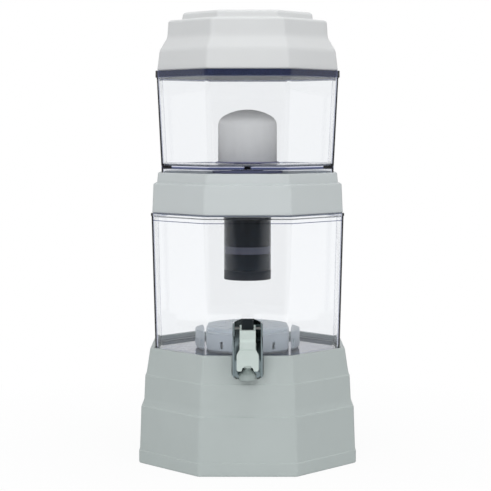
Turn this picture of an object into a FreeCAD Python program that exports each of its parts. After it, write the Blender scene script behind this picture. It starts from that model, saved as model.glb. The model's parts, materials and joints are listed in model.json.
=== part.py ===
"""Gravity water filter with tap: two clear octagonal tanks on a stepped stand.

Millimetres, +Z up, the front with the tap towards -Y. The origin is the middle of the
stand's lower rim. Every size is a cell of the sheet Sizes, and every place that follows
from sizes is a formula of the sheet Places.
"""
import FreeCAD, Part
import math
import os
import Sketcher

doc = FreeCAD.newDocument("gravity_water_filter")
sizes = doc.addObject("Spreadsheet::Sheet", "Sizes")
places = doc.addObject("Spreadsheet::Sheet", "Places")

SIZES = {
    # octagonal plan: the diagonal flats lie this much further out than the main ones
    "corner_ease": 2.4,
    "corner_round": 6,
    # clearances
    "seat_gap": 0.2,
    "nest_gap": 0.75,
    "bore_gap": 0.2,
    # stand, tiers from the floor upwards
    "band_height": 16,
    "band_inset": 1,
    "low_tier_height": 54,
    "low_tier_taper": 2,
    "low_shoulder_height": 8,
    "low_shoulder_inset": 3.5,
    "mid_tier_height": 30,
    "mid_tier_taper": 1.5,
    "mid_shoulder_height": 7.5,
    "mid_shoulder_inset": 2.25,
    "rim_tier_height": 26,
    "rim_tier_taper": 3.75,
    "rim_wall": 5.5,
    "rim_depth": 10.5,
    "rim_round": 1.2,
    "stand_wall": 3,
    "rib_height": 9,
    "rib_width": 2.4,
    "rib_start": 20,
    "niche_gap": 1.2,
    "niche_depth": 1.25,
    "notch_width": 33,
    # lower tank
    "tank_half": 113,
    "tank_taper": 4,
    "tank_height": 175.6,
    "tank_wall": 3.2,
    "tank_floor": 3.8,
    "tank_foot_round": 2,
    "lip_height": 3.4,
    "lip_reach": 0.75,
    "boss_width": 30,
    "boss_relief": 0.75,
    # ring between the tanks
    "ring_low_height": 35.8,
    "ring_low_inset": 1,
    "ring_low_taper": 1.5,
    "ring_ledge": 4.25,
    "ring_top_height": 13.2,
    "ring_top_taper": 1.25,
    "ring_rim_wall": 3.8,
    "ring_wall": 2.8,
    "ring_deck": 3,
    "ring_well_depth": 6.5,
    "skirt_depth": 7.5,
    "skirt_gap": 0.6,
    "skirt_wall": 2.5,
    # upper tank
    "upper_taper": 6.05,
    "upper_height": 129.3,
    "upper_wall": 3.2,
    "upper_floor": 3.3,
    "upper_floor_height": 11.3,
    "upper_lip_height": 8,
    "upper_lip_reach": 1.1,
    # lid
    "lid_low_inset": 2.35,
    "lid_low_height": 23.8,
    "lid_low_taper": 2.75,
    "lid_slope_height": 16,
    "lid_slope_inset": 9.25,
    "lid_mid_height": 20.5,
    "lid_mid_taper": 1.25,
    "lid_ledge": 16.5,
    "lid_ledge_rise": 1.5,
    "lid_top_height": 9,
    "lid_top_taper": 1,
    "lid_wall": 2.5,
    # ceramic dome on its plate
    "dome_width": 73.3,
    "dome_straight": 40.2,
    "dome_rise": 20.2,
    "dome_corner": 14,
    "dome_wall": 8,
    "plate_width": 81,
    "plate_height": 4.5,
    "plate_chamfer": 1.5,
    "stem_width": 12,
    "stem_length": 32,
    "stem_bore": 6,
    "washer_width": 34,
    "washer_height": 1.5,
    # filter cartridge under the upper floor
    "gasket_width": 40,
    "gasket_height": 1.3,
    "flange_width": 87.6,
    "flange_height": 5.1,
    "collar_width": 61.4,
    "collar_height": 56,
    "collar_wall": 2.4,
    "socket_width": 22,
    "socket_depth": 22,
    "housing_width": 58.8,
    "housing_wall": 2.6,
    "housing_height": 73.5,
    "neck_height": 40,
    "grid_height": 11.3,
    "grid_floor": 3,
    "grid_slot_width": 2.4,
    "grid_slot_length": 14,
    "lower_bed_height": 22.8,
    "divider_height": 11,
    "carbon_height": 66,
    "upper_pad_height": 6,
    # mineral cassette on the lower tank's floor
    "dish_width": 129,
    "dish_height": 21.8,
    "dish_wall": 2.4,
    "dish_round": 3,
    "dish_slot_width": 4,
    "dish_slot_height": 9,
    "cover_height": 2,
    "cover_skirt": 6,
    "crown_width": 108.8,
    "crown_rise": 4.3,
    "crown_round": 2,
    "crown_slot_length": 16,
    "crown_slot_width": 3,
    "mineral_height": 13,
    # tap through the lower tank's front wall
    "tap_height": 19,
    "tap_reach": 19.8,
    "tap_washer_width": 24,
    "tap_washer_height": 2,
    "tap_stem_width": 14,
    "tap_collar_height": 3,
    "tap_neck_width": 10,
    "nut_width": 24,
    "nut_height": 8,
    "stem_beyond_nut": 4,
    "water_bore": 6,
    "chamber_width": 21,
    "chamber_bore": 15,
    "chamber_drop": 19,
    "chamber_rise": 5.5,
    "chamber_floor": 4,
    "outlet_bore": 7.4,
    "bonnet_height": 4.5,
    "bonnet_width": 22,
    "plunger_width": 4,
    "plunger_head": 8,
    "plunger_head_height": 3,
    "plunger_head_drop": 8.5,
    "cup_width": 12,
    "cup_height": 4.5,
    "spring_width": 9,
    "spring_wire": 1,
    "spring_turns": 4,
    "spout_width": 21,
    "spout_foot_height": 5.4,
    "spout_height": 15,
    "spout_neck": 8.2,
    "spigot_height": 2.5,
    "spigot_gap": 0.1,
    "spout_wall": 1.6,
    # U-shaped cheeks round the tap
    "shroud_width": 35.3,
    "shroud_wall": 2.4,
    "shroud_depth": 26.6,
    "shroud_drop": 34,
    "shroud_rise": 31.5,
    "shroud_arch": 4.5,
    "shroud_chamfer": 5,
    "shroud_front_slope": 5,
    # lever
    "pin_width": 3,
    "pin_height": 25.5,
    "pin_setback": 8,
    "lever_width": 18.6,
    "lever_hub": 7,
    "lever_clearance": 0.3,
    "paddle_width": 25.6,
    "paddle_thickness": 2.6,
    "paddle_gap": 2.2,
    "leg_width": 5.5,
    "pad_width": 14,
    "pad_depth": 9,
    "pad_height": 12,
    "tongue_width": 8,
    "tongue_depth": 5,
    "tongue_height": 8,
    "bump_reach": 3,
}

PLACES = {
    # a corner's ease, along a flat and along the slant
    "corner_cut": "Sizes.corner_round * (sqrt(2) - 1)",
    "corner_slant": "corner_cut / sqrt(2)",
    # heights of the stand
    "band_top": "Sizes.band_height",
    "low_top": "band_top + Sizes.low_tier_height",
    "mid_foot": "low_top + Sizes.low_shoulder_height",
    "mid_top": "mid_foot + Sizes.mid_tier_height",
    "rim_foot": "mid_top + Sizes.mid_shoulder_height",
    "rim_top": "rim_foot + Sizes.rim_tier_height",
    "deck_top": "rim_top - Sizes.rim_depth",
    "deck_foot": "deck_top - Sizes.stand_wall",
    # half widths of the stand, worked out from the tank that it holds
    "well_half": "Sizes.tank_half + Sizes.nest_gap",
    "rim_half": "well_half + Sizes.rim_wall",
    "rim_foot_half": "rim_half + Sizes.rim_tier_taper",
    "mid_top_half": "rim_foot_half + Sizes.mid_shoulder_inset",
    "mid_foot_half": "mid_top_half + Sizes.mid_tier_taper",
    "low_top_half": "mid_foot_half + Sizes.low_shoulder_inset",
    "low_foot_half": "low_top_half + Sizes.low_tier_taper",
    "band_half": "low_foot_half + Sizes.band_inset",
    "deck_half": "rim_half + (rim_top - deck_foot) * Sizes.rim_tier_taper / Sizes.rim_tier_height",
    "niche_face": "rim_half - Sizes.niche_depth",
    # lower tank
    "tank_foot": "deck_top + Sizes.seat_gap",
    "tank_top": "tank_foot + Sizes.tank_height",
    "tank_floor_top": "tank_foot + Sizes.tank_floor",
    "tank_top_half": "Sizes.tank_half + Sizes.tank_taper",
    "tank_mouth_half": "tank_top_half - Sizes.tank_wall",
    "tank_slope": "Sizes.tank_taper / Sizes.tank_height",
    "tap_axis": "tank_foot + Sizes.tap_height",
    "boss_face": "Sizes.tank_half + Sizes.tap_height * tank_slope + Sizes.boss_relief",
    "boss_back": "Sizes.tank_half - Sizes.tank_wall - Sizes.boss_relief / 2",
    # ring
    "ring_foot": "tank_top + Sizes.seat_gap",
    "ring_ledge_top": "ring_foot + Sizes.ring_low_height",
    "ring_top": "ring_ledge_top + Sizes.ring_top_height",
    "ring_low_half": "tank_top_half - Sizes.ring_low_inset",
    "ring_ledge_half": "ring_low_half - Sizes.ring_low_taper",
    "ring_step_half": "ring_ledge_half - Sizes.ring_ledge",
    "ring_top_half": "ring_step_half - Sizes.ring_top_taper",
    "ring_well_half": "ring_top_half - Sizes.ring_rim_wall",
    "skirt_half": "tank_mouth_half - Sizes.skirt_gap",
    "skirt_bore_half": "skirt_half - Sizes.skirt_wall",
    "ring_deck_top": "ring_top - Sizes.ring_well_depth",
    "ring_deck_foot": "ring_deck_top - Sizes.ring_deck",
    "ring_hole": "Sizes.collar_width + 2 * Sizes.seat_gap + 4",
    # upper tank
    "upper_half": "ring_well_half - Sizes.nest_gap",
    "upper_foot": "ring_deck_top + Sizes.seat_gap",
    "upper_top": "upper_foot + Sizes.upper_height",
    "upper_floor_foot": "upper_foot + Sizes.upper_floor_height",
    "upper_floor_top": "upper_floor_foot + Sizes.upper_floor",
    "upper_top_half": "upper_half + Sizes.upper_taper",
    "upper_mouth_half": "upper_top_half - Sizes.upper_wall",
    "upper_slope": "Sizes.upper_taper / Sizes.upper_height",
    # lid
    "lid_foot": "upper_top + Sizes.seat_gap",
    "lid_low_top": "lid_foot + Sizes.lid_low_height",
    "lid_mid_foot": "lid_low_top + Sizes.lid_slope_height",
    "lid_mid_top": "lid_mid_foot + Sizes.lid_mid_height",
    "lid_top_foot": "lid_mid_top + Sizes.lid_ledge_rise",
    "lid_top": "lid_top_foot + Sizes.lid_top_height",
    "lid_low_half": "upper_top_half + Sizes.upper_lip_reach - Sizes.lid_low_inset",
    "lid_low_top_half": "lid_low_half - Sizes.lid_low_taper",
    "lid_mid_foot_half": "lid_low_top_half - Sizes.lid_slope_inset",
    "lid_mid_top_half": "lid_mid_foot_half - Sizes.lid_mid_taper",
    "lid_top_foot_half": "lid_mid_top_half - Sizes.lid_ledge",
    "lid_top_half": "lid_top_foot_half - Sizes.lid_top_taper",
    "lid_skirt_half": "upper_mouth_half - Sizes.skirt_gap",
    "lid_skirt_bore_half": "lid_skirt_half - Sizes.skirt_wall",
    # dome
    "plate_foot": "upper_floor_top + Sizes.washer_height",
    "plate_top": "plate_foot + Sizes.plate_height",
    "stem_hole": "Sizes.stem_width + 1",
    # cartridge
    "gasket_top": "upper_floor_foot - Sizes.seat_gap / 2",
    "flange_top": "gasket_top - Sizes.gasket_height - Sizes.seat_gap / 2",
    "flange_foot": "flange_top - Sizes.flange_height",
    "collar_foot": "flange_foot - Sizes.collar_height",
    "neck_width": "Sizes.collar_width - 2 * Sizes.collar_wall - 2 * Sizes.bore_gap",
    "housing_top": "collar_foot - Sizes.seat_gap",
    "housing_foot": "housing_top - Sizes.housing_height",
    "neck_top": "housing_top + Sizes.neck_height",
    "housing_bore": "neck_width - 2 * Sizes.housing_wall",
    "grid_top": "housing_foot + Sizes.grid_height - Sizes.grid_floor - Sizes.seat_gap",
    "grid_foot": "grid_top - Sizes.grid_height",
    "fill_width": "housing_bore - 2 * Sizes.bore_gap",
    "lower_bed_foot": "housing_foot",
    "divider_foot": "lower_bed_foot + Sizes.lower_bed_height + Sizes.bore_gap",
    "carbon_foot": "divider_foot + Sizes.divider_height + Sizes.bore_gap",
    "upper_pad_foot": "carbon_foot + Sizes.carbon_height + Sizes.bore_gap",
    # cassette
    "dish_foot": "tank_floor_top + Sizes.seat_gap",
    "dish_top": "dish_foot + Sizes.dish_height",
    "dish_bore": "Sizes.dish_width - 2 * Sizes.dish_wall",
    "cover_foot": "dish_top + Sizes.seat_gap",
    "cover_top": "cover_foot + Sizes.cover_height",
    "crown_top": "cover_top + Sizes.crown_rise",
    "cover_skirt_width": "dish_bore - 2 * Sizes.seat_gap",
    "mineral_foot": "dish_foot + Sizes.dish_wall + Sizes.bore_gap",
    # tap, along its stem
    "washer_front": "boss_face + Sizes.tap_washer_height",
    "collar_front": "washer_front + Sizes.tap_collar_height",
    "shroud_back": "collar_front + Sizes.seat_gap",
    "shroud_plate": "shroud_back + Sizes.shroud_wall",
    "shroud_front": "shroud_back + Sizes.shroud_depth",
    "washer_rear": "boss_back - Sizes.tap_washer_height",
    "nut_rear": "washer_rear - Sizes.nut_height",
    "stem_rear": "nut_rear - Sizes.stem_beyond_nut",
    "valve_axis": "boss_face + Sizes.tap_reach",
    # tap, along the valve's axis
    "chamber_foot": "tap_axis - Sizes.chamber_drop",
    "chamber_top": "tap_axis + Sizes.chamber_rise",
    "seat_top": "chamber_foot + Sizes.chamber_floor",
    "bonnet_top": "chamber_top + Sizes.bonnet_height",
    "cup_top": "seat_top + Sizes.cup_height",
    "pin_axis": "tap_axis + Sizes.pin_height",
    "pin_line": "valve_axis - Sizes.pin_setback",
    "head_foot": "pin_axis - Sizes.plunger_head_drop",
    "head_top": "head_foot + Sizes.plunger_head_height",
    "ledge_top": "head_foot - Sizes.lever_clearance",
    "spout_foot": "chamber_foot - Sizes.spout_height",
    "shroud_foot": "tap_axis - Sizes.shroud_drop",
    "shroud_top": "tap_axis + Sizes.shroud_rise",
    "paddle_back": "valve_axis + Sizes.chamber_width / 2 + Sizes.paddle_gap",
    "paddle_front": "paddle_back + Sizes.paddle_thickness",
    "lever_top": "pin_axis - Sizes.lever_clearance",
    # niche in the stand that the tap's channel drops into
    "niche_half": "Sizes.shroud_width / 2 + Sizes.niche_gap",
    "niche_foot": "shroud_foot - Sizes.niche_gap",
}

for row, (alias, value) in enumerate(SIZES.items(), start=1):
    sizes.set(f"A{row}", alias)
    sizes.set(f"B{row}", str(value))
    sizes.setAlias(f"B{row}", alias)
doc.recompute()
for row, (alias, formula) in enumerate(PLACES.items(), start=1):
    places.set(f"A{row}", alias)
    places.set(f"B{row}", "=" + formula)
    places.setAlias(f"B{row}", alias)
doc.recompute()


def ref(text):
    """Turns a formula of plain aliases into one that names the sheets."""
    words = []
    word = ""
    for letter in text + " ":
        if letter.isalnum() or letter == "_":
            word += letter
            continue
        if word in SIZES:
            word = "Sizes." + word
        elif word in PLACES:
            word = "Places." + word
        words.append(word + letter)
        word = ""
    return "".join(words).strip()


def value_of(text):
    """The present value of a formula of plain aliases, for a sketch's first shape."""
    known = {name: float(sizes.get(name)) for name in SIZES if name in text}
    known.update({name: float(places.get(name)) for name in PLACES if name in text})
    known["sqrt"] = math.sqrt
    return float(FreeCAD.Units.parseQuantity(filled(text, known)).Value)


def filled(text, known):
    """The formula with every alias replaced by its number."""
    out = ""
    word = ""
    for letter in text + " ":
        if letter.isalnum() or letter == "_":
            word += letter
            continue
        if word in known and word != "sqrt":
            word = f"({known[word]!r})"
        out += word + letter
        word = ""
    return out


def new_body(name):
    """An empty body whose label names its file."""
    body = doc.addObject("PartDesign::Body", name)
    body.Label = name
    return body


def new_sketch(body, name, plane, offset="0"):
    """A sketch on one of the body's own planes, moved along that plane's normal."""
    sketch = body.newObject("Sketcher::SketchObject", name)
    origin_plane = [f for f in body.Origin.OriginFeatures if f.Role == plane][0]
    sketch.AttachmentSupport = [(origin_plane, "")]
    sketch.MapMode = "FlatFace"
    sketch.setExpression("AttachmentOffset.Base.z", ref(offset))
    return sketch


def pin_point(sketch, element, corner, x, y):
    """Binds one point of a sketch to two formulas."""
    for kind, axis, text in (("DistanceX", -2, x), ("DistanceY", -1, y)):
        if text == "0":
            sketch.addConstraint(Sketcher.Constraint("PointOnObject", element, corner, axis))
            continue
        rule = Sketcher.Constraint(kind, -1, 1, element, corner, value_of(text))
        index = sketch.addConstraint(rule)
        sketch.setExpression(f"Constraints[{index}]", ref(text))


def outline(sketch, points):
    """A closed outline of straight lines through points given as pairs of formulas."""
    spots = [FreeCAD.Vector(value_of(x), value_of(y), 0) for x, y in points]
    first = sketch.GeometryCount
    count = len(spots)
    lines = [Part.LineSegment(spots[i], spots[(i + 1) % count]) for i in range(count)]
    sketch.addGeometry(lines, False)
    for i in range(count):
        following = first + (i + 1) % count
        sketch.addConstraint(Sketcher.Constraint("Coincident", first + i, 2, following, 1))
    for i, (x, y) in enumerate(points):
        pin_point(sketch, first + i, 1, x, y)
    return sketch


def circle(sketch, width, x="0", y="0"):
    """A circle of a given width round a point."""
    centre = FreeCAD.Vector(value_of(x), value_of(y), 0)
    radius = value_of(width) / 2
    index = sketch.addGeometry(Part.Circle(centre, FreeCAD.Vector(0, 0, 1), radius), False)
    if x == "0" and y == "0":
        sketch.addConstraint(Sketcher.Constraint("Coincident", index, 3, -1, 1))
    else:
        pin_point(sketch, index, 3, x, y)
    rule = sketch.addConstraint(Sketcher.Constraint("Diameter", index, 2 * radius))
    sketch.setExpression(f"Constraints[{rule}]", ref(width))
    return sketch


def octagon(body, name, half, height):
    """A level octagon with eased corners: half is the distance to its main flats."""
    corner = f"(({half} + corner_ease) * sqrt(2) - {half})"
    quarter = [(half, f"{corner} - corner_cut"), (f"{half} - corner_slant", f"{corner} + corner_slant"),
               (f"{corner} + corner_slant", f"{half} - corner_slant"), (f"{corner} - corner_cut", half)]
    points = []
    for right, up in ((1, 1), (-1, 1), (-1, -1), (1, -1)):
        turned_corner = quarter if right * up > 0 else quarter[::-1]
        points += [(x if right > 0 else f"-({x})", y if up > 0 else f"-({y})")
                   for x, y in turned_corner]
    return outline(new_sketch(body, name, "XY_Plane", height), points)


def octagon_loft(body, name, levels, cut=False):
    """A stack of octagons joined by straight walls: levels are (half width, height)."""
    sketches = [octagon(body, f"{name}_{i}", half, height)
                for i, (half, height) in enumerate(levels)]
    kind = "PartDesign::SubtractiveLoft" if cut else "PartDesign::AdditiveLoft"
    loft = body.newObject(kind, name)
    loft.Profile = sketches[0]
    loft.Sections = sketches[1:]
    loft.Ruled = True
    body.Tip = loft
    return loft


def turned(body, name, points, cut=False):
    """A turned form about the body's own upright axis from (radius, height) points."""
    sketch = outline(new_sketch(body, name + "_profile", "XZ_Plane"), points)
    kind = "PartDesign::Groove" if cut else "PartDesign::Revolution"
    feature = body.newObject(kind, name)
    feature.Profile = sketch
    feature.ReferenceAxis = (sketch, ["V_Axis"])
    feature.Angle = 360
    body.Tip = feature
    return feature


def straight(body, name, sketch, length, cut=False, both=False):
    """A pad or pocket of one sketch, along its plane's normal or to both sides."""
    kind = "PartDesign::Pocket" if cut else "PartDesign::Pad"
    feature = body.newObject(kind, name)
    feature.Profile = sketch
    feature.setExpression("Length", ref(length))
    feature.Midplane = both
    feature.Reversed = cut
    body.Tip = feature
    return feature


def polar(body, name, feature, count):
    """Repeats a feature round the body's upright axis."""
    pattern = body.newObject("PartDesign::PolarPattern", name)
    pattern.Originals = [feature]
    pattern.Axis = (feature.Profile[0], ["N_Axis"])
    pattern.Angle = 360
    pattern.Occurrences = count
    body.Tip = pattern
    return pattern


def tube(body, name, width, bore, foot, top):
    """A plain ring or disc between two heights; a bore of 0 leaves it solid."""
    if bore == "0":
        return turned(body, name, [("0", foot), (f"{width} / 2", foot),
                                   (f"{width} / 2", top), ("0", top)])
    return turned(body, name, [(f"{bore} / 2", foot), (f"{width} / 2", foot),
                               (f"{width} / 2", top), (f"{bore} / 2", top)])


def along_tap(body):
    """Puts a body's own axis on the valve's upright axis."""
    body.setExpression("Placement.Base.y", "-Places.valve_axis")


def rectangle(sketch, x0, x1, y0, y1):
    """A rectangle between two pairs of formulas."""
    return outline(sketch, [(x0, y0), (x1, y0), (x1, y1), (x0, y1)])


def base_shell():
    """Hollow stand: three tapering tiers, shoulders between them, deck, rim and niche."""
    body = new_body("base_shell")
    octagon_loft(body, "tiers", [
        ("(band_half - 1)", "0"), ("band_half", "1.5"), ("band_half", "band_top"),
        ("low_foot_half", "band_top + 0.6"), ("low_top_half", "low_top"),
        ("mid_foot_half", "mid_foot"), ("mid_top_half", "mid_top"),
        ("rim_foot_half", "rim_foot"), ("(rim_half + 0.2)", "rim_top - rim_round"),
        ("(rim_half - rim_round)", "rim_top")])
    octagon_loft(body, "hollow", [
        ("(low_foot_half - stand_wall)", "0"), ("(low_foot_half - stand_wall)", "band_top"),
        ("(low_top_half - stand_wall)", "low_top"), ("(mid_foot_half - stand_wall)", "mid_foot"),
        ("(mid_top_half - stand_wall)", "mid_top"), ("(rim_foot_half - stand_wall)", "rim_foot"),
        ("(deck_half - stand_wall)", "deck_foot")], cut=True)
    octagon_loft(body, "well", [("well_half", "deck_top"), ("well_half", "rim_top + 1")], cut=True)
    rib = rectangle(new_sketch(body, "rib_plan", "XY_Plane", "deck_foot - rib_height"),
                    "rib_start", "deck_half - stand_wall + 1", "-rib_width / 2", "rib_width / 2")
    rib_pad = straight(body, "rib", rib, "rib_height + 1")
    polar(body, "ribs", rib_pad, 8)
    backing = rectangle(new_sketch(body, "backing_outline", "XZ_Plane", "niche_face - stand_wall"),
                        "-(niche_half + stand_wall)", "niche_half + stand_wall",
                        "niche_foot - stand_wall", "deck_foot + 1")
    straight(body, "backing", backing, "2 * stand_wall")
    niche = new_sketch(body, "niche_outline", "XZ_Plane", "niche_face")
    outline(niche, [("niche_half", "rim_top + 1"), ("-niche_half", "rim_top + 1"),
                    ("-niche_half", "niche_foot + shroud_chamfer"),
                    ("-(niche_half - shroud_chamfer)", "niche_foot"),
                    ("niche_half - shroud_chamfer", "niche_foot"),
                    ("niche_half", "niche_foot + shroud_chamfer")])
    straight(body, "niche", niche, "band_half - niche_face", cut=True)
    notch = rectangle(new_sketch(body, "notch_outline", "XZ_Plane", "well_half - rim_wall"),
                      "-notch_width / 2", "notch_width / 2", "deck_top + 2", "rim_top + 1")
    straight(body, "notch", notch, "3 * rim_wall", cut=True)
    return body


def lower_tank():
    """Clear tank with a lip, a flat boss on its front wall and the tap's hole."""
    body = new_body("lower_tank")
    octagon_loft(body, "outside", [
        ("(tank_half - tank_foot_round)", "tank_foot"),
        ("(tank_half + tank_foot_round * tank_slope)", "tank_foot + tank_foot_round"),
        ("tank_top_half", "tank_top - lip_height - 0.6"),
        ("(tank_top_half + lip_reach)", "tank_top - lip_height"),
        ("(tank_top_half + lip_reach)", "tank_top")])
    octagon_loft(body, "inside", [
        ("(tank_half - tank_wall - tank_foot_round)", "tank_floor_top"),
        ("(tank_half - tank_wall)", "tank_floor_top + tank_foot_round"),
        ("tank_mouth_half", "tank_top - lip_height"),
        ("tank_mouth_half", "tank_top + 1")], cut=True)
    boss = circle(new_sketch(body, "boss_outline", "XZ_Plane", "boss_back"),
                  "boss_width", "0", "tap_axis")
    straight(body, "boss", boss, "boss_face - boss_back")
    hole = circle(new_sketch(body, "tap_hole_outline", "XZ_Plane", "boss_back - 2"),
                  "tap_stem_width + 2 * bore_gap", "0", "tap_axis")
    straight(body, "tap_hole", hole, "boss_face - boss_back + 4", cut=True)
    return body


def middle_ring():
    """Ring that stands on the lower tank's lip and holds the upper tank in its well."""
    body = new_body("middle_ring")
    octagon_loft(body, "outside", [
        ("(ring_low_half - 0.8)", "ring_foot"), ("ring_low_half", "ring_foot + 0.8"),
        ("ring_ledge_half", "ring_ledge_top - 0.8"), ("(ring_ledge_half - 0.8)", "ring_ledge_top"),
        ("ring_step_half", "ring_ledge_top + 0.3"), ("ring_top_half", "ring_top - 0.8"),
        ("(ring_top_half - 0.8)", "ring_top")])
    octagon_loft(body, "skirt", [("skirt_half", "ring_foot - skirt_depth"),
                                 ("skirt_half", "ring_foot + 1")])
    octagon_loft(body, "hollow", [
        ("skirt_bore_half", "ring_foot - skirt_depth - 1"),
        ("skirt_bore_half", "ring_ledge_top - ring_wall - 1"),
        ("(ring_step_half - ring_wall)", "ring_ledge_top - ring_wall + 0.5"),
        ("(ring_step_half - ring_wall)", "ring_deck_foot")], cut=True)
    octagon_loft(body, "well", [("ring_well_half", "ring_deck_top"),
                                ("ring_well_half", "ring_top + 1")], cut=True)
    hole = circle(new_sketch(body, "hole_outline", "XY_Plane", "ring_deck_foot - 1"), "ring_hole")
    straight(body, "hole", hole, "ring_deck + 2", cut=True)
    rib = rectangle(new_sketch(body, "rib_plan", "XY_Plane", "ring_deck_foot - rib_height / 2"),
                    "ring_hole / 2 + 4", "(ring_step_half - ring_wall + 1)",
                    "-rib_width / 2", "rib_width / 2")
    polar(body, "ribs", straight(body, "rib", rib, "rib_height / 2 + 1"), 8)
    return body


def upper_tank():
    """Clear tank whose floor stands on a short skirt, with the dome's hole in it."""
    body = new_body("upper_tank")
    octagon_loft(body, "outside", [
        ("upper_half", "upper_foot"), ("upper_top_half", "upper_top - upper_lip_height - 0.8"),
        ("(upper_top_half + upper_lip_reach)", "upper_top - upper_lip_height"),
        ("(upper_top_half + upper_lip_reach)", "upper_top")])
    octagon_loft(body, "inside", [
        ("(upper_half - upper_wall + upper_slope * upper_floor_height - 2)", "upper_floor_top"),
        ("(upper_half - upper_wall + upper_slope * upper_floor_height)", "upper_floor_top + 2"),
        ("upper_mouth_half", "upper_top - upper_lip_height"),
        ("upper_mouth_half", "upper_top + 1")], cut=True)
    octagon_loft(body, "under_floor", [
        ("(upper_half - upper_wall)", "upper_foot - 1"),
        ("(upper_half - upper_wall)", "upper_floor_foot")], cut=True)
    hole = circle(new_sketch(body, "hole_outline", "XY_Plane", "upper_floor_foot - 1"), "stem_hole")
    straight(body, "hole", hole, "upper_floor + 2", cut=True)
    return body


def lid_shell():
    """Stepped hollow lid with a skirt that drops into the upper tank's mouth."""
    body = new_body("lid_shell")
    octagon_loft(body, "outside", [
        ("(lid_low_half - 0.8)", "lid_foot"), ("lid_low_half", "lid_foot + 0.8"),
        ("lid_low_top_half", "lid_low_top"), ("lid_mid_foot_half", "lid_mid_foot"),
        ("lid_mid_top_half", "lid_mid_top - 1.2"), ("(lid_mid_top_half - 1.2)", "lid_mid_top"),
        ("lid_top_foot_half", "lid_top_foot"), ("lid_top_half", "lid_top - 2"),
        ("(lid_top_half - 2)", "lid_top")])
    octagon_loft(body, "skirt", [("lid_skirt_half", "lid_foot - skirt_depth"),
                                 ("lid_skirt_half", "lid_foot + 1")])
    octagon_loft(body, "hollow", [
        ("lid_skirt_bore_half", "lid_foot - skirt_depth - 1"),
        ("(lid_low_top_half - lid_wall)", "lid_low_top"),
        ("(lid_mid_foot_half - lid_wall)", "lid_mid_foot"),
        ("(lid_mid_top_half - lid_wall - 0.5)", "lid_mid_top - lid_wall - 0.5"),
        ("(lid_top_foot_half - lid_wall)", "lid_top_foot - lid_wall"),
        ("(lid_top_half - lid_wall)", "lid_top - lid_wall")], cut=True)
    return body


def ceramic_dome():
    """Thick-walled ceramic dome: a tight corner arc runs into a flatter crown arc."""
    body = new_body("ceramic_dome")
    half = "dome_width / 2"
    shoulder = "plate_top + dome_straight"
    corner_reach = f"({half} - dome_corner)"
    crown = f"((({half} - dome_corner)^2 + dome_rise^2 - dome_corner^2) / (2 * (dome_rise - dome_corner)))"
    points = [("0", "plate_top"), (half, "plate_top")]
    meet = math.degrees(math.atan2(value_of(f"{crown} - dome_rise"), value_of(corner_reach)))
    for k in range(5):
        turn = math.radians(meet * k / 4)
        points.append((f"{corner_reach} + dome_corner * {math.cos(turn):.6f}",
                       f"{shoulder} + dome_corner * {math.sin(turn):.6f}"))
    for k in range(1, 3):
        turn = math.radians(meet + (90 - meet) * k / 3)
        points.append((f"{crown} * {math.cos(turn):.6f}",
                       f"{shoulder} + dome_rise - {crown} * {1 - math.sin(turn):.6f}"))
    points.append(("0", f"{shoulder} + dome_rise"))
    turned(body, "outside", points)
    inner_half = "(dome_width / 2 - dome_wall)"
    inner_top = f"{shoulder} + dome_rise - dome_wall"
    turned(body, "inside", [
        ("0", "plate_top"), (inner_half, "plate_top"), (inner_half, shoulder),
        (inner_half + " * 0.6", inner_top), ("0", inner_top)], cut=True)
    return body


def dome_plate():
    """Plate under the dome with its hollow stem that passes through the tank's floor."""
    body = new_body("dome_plate")
    turned(body, "plate", [
        ("stem_bore / 2", "plate_foot - stem_length"),
        ("stem_width / 2", "plate_foot - stem_length"),
        ("stem_width / 2", "plate_foot"), ("plate_width / 2", "plate_foot"),
        ("plate_width / 2", "plate_top - plate_chamfer"),
        ("plate_width / 2 - plate_chamfer", "plate_top"), ("stem_bore / 2", "plate_top")])
    return body


def simple_rings():
    """The filter's plain washers, pads and beds."""
    for name, width, bore, foot, top in (
            ("dome_washer", "washer_width", "(stem_width + 2 * bore_gap)",
             "upper_floor_top", "plate_foot"),
            ("cartridge_gasket", "gasket_width", "(stem_width + 1)",
             "gasket_top - gasket_height", "gasket_top"),
            ("lower_bed", "fill_width", "0", "lower_bed_foot", "lower_bed_foot + lower_bed_height"),
            ("divider_pad", "fill_width", "0", "divider_foot", "divider_foot + divider_height"),
            ("carbon_bed", "fill_width", "0", "carbon_foot", "carbon_foot + carbon_height"),
            ("upper_pad", "fill_width", "0", "upper_pad_foot", "upper_pad_foot + upper_pad_height"),
            ("mineral_bed", "(dish_bore - 2 * bore_gap - 2)", "0", "mineral_foot",
             "mineral_foot + mineral_height")):
        body = new_body(name)
        tube(body, "ring", width, bore, foot, top)


def cartridge_cap():
    """Flanged cap: collar outside, socket for the dome's stem inside, grip notches."""
    body = new_body("cartridge_cap")
    turned(body, "cap", [
        ("stem_width / 2 + bore_gap", "flange_top"), ("flange_width / 2", "flange_top"),
        ("flange_width / 2", "flange_foot"),
        ("collar_width / 2", "flange_foot"), ("collar_width / 2", "collar_foot"),
        ("collar_width / 2 - collar_wall", "collar_foot"),
        ("collar_width / 2 - collar_wall", "flange_foot"), ("socket_width / 2", "flange_foot"),
        ("socket_width / 2", "flange_top - socket_depth"),
        ("stem_width / 2 + bore_gap", "flange_top - socket_depth")])
    notch = circle(new_sketch(body, "grip_outline", "XY_Plane", "flange_foot - 1"),
                   "6", "flange_width / 2 + 1.5", "0")
    polar(body, "grips", straight(body, "grip", notch, "flange_height + 2", cut=True), 6)
    return body


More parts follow.
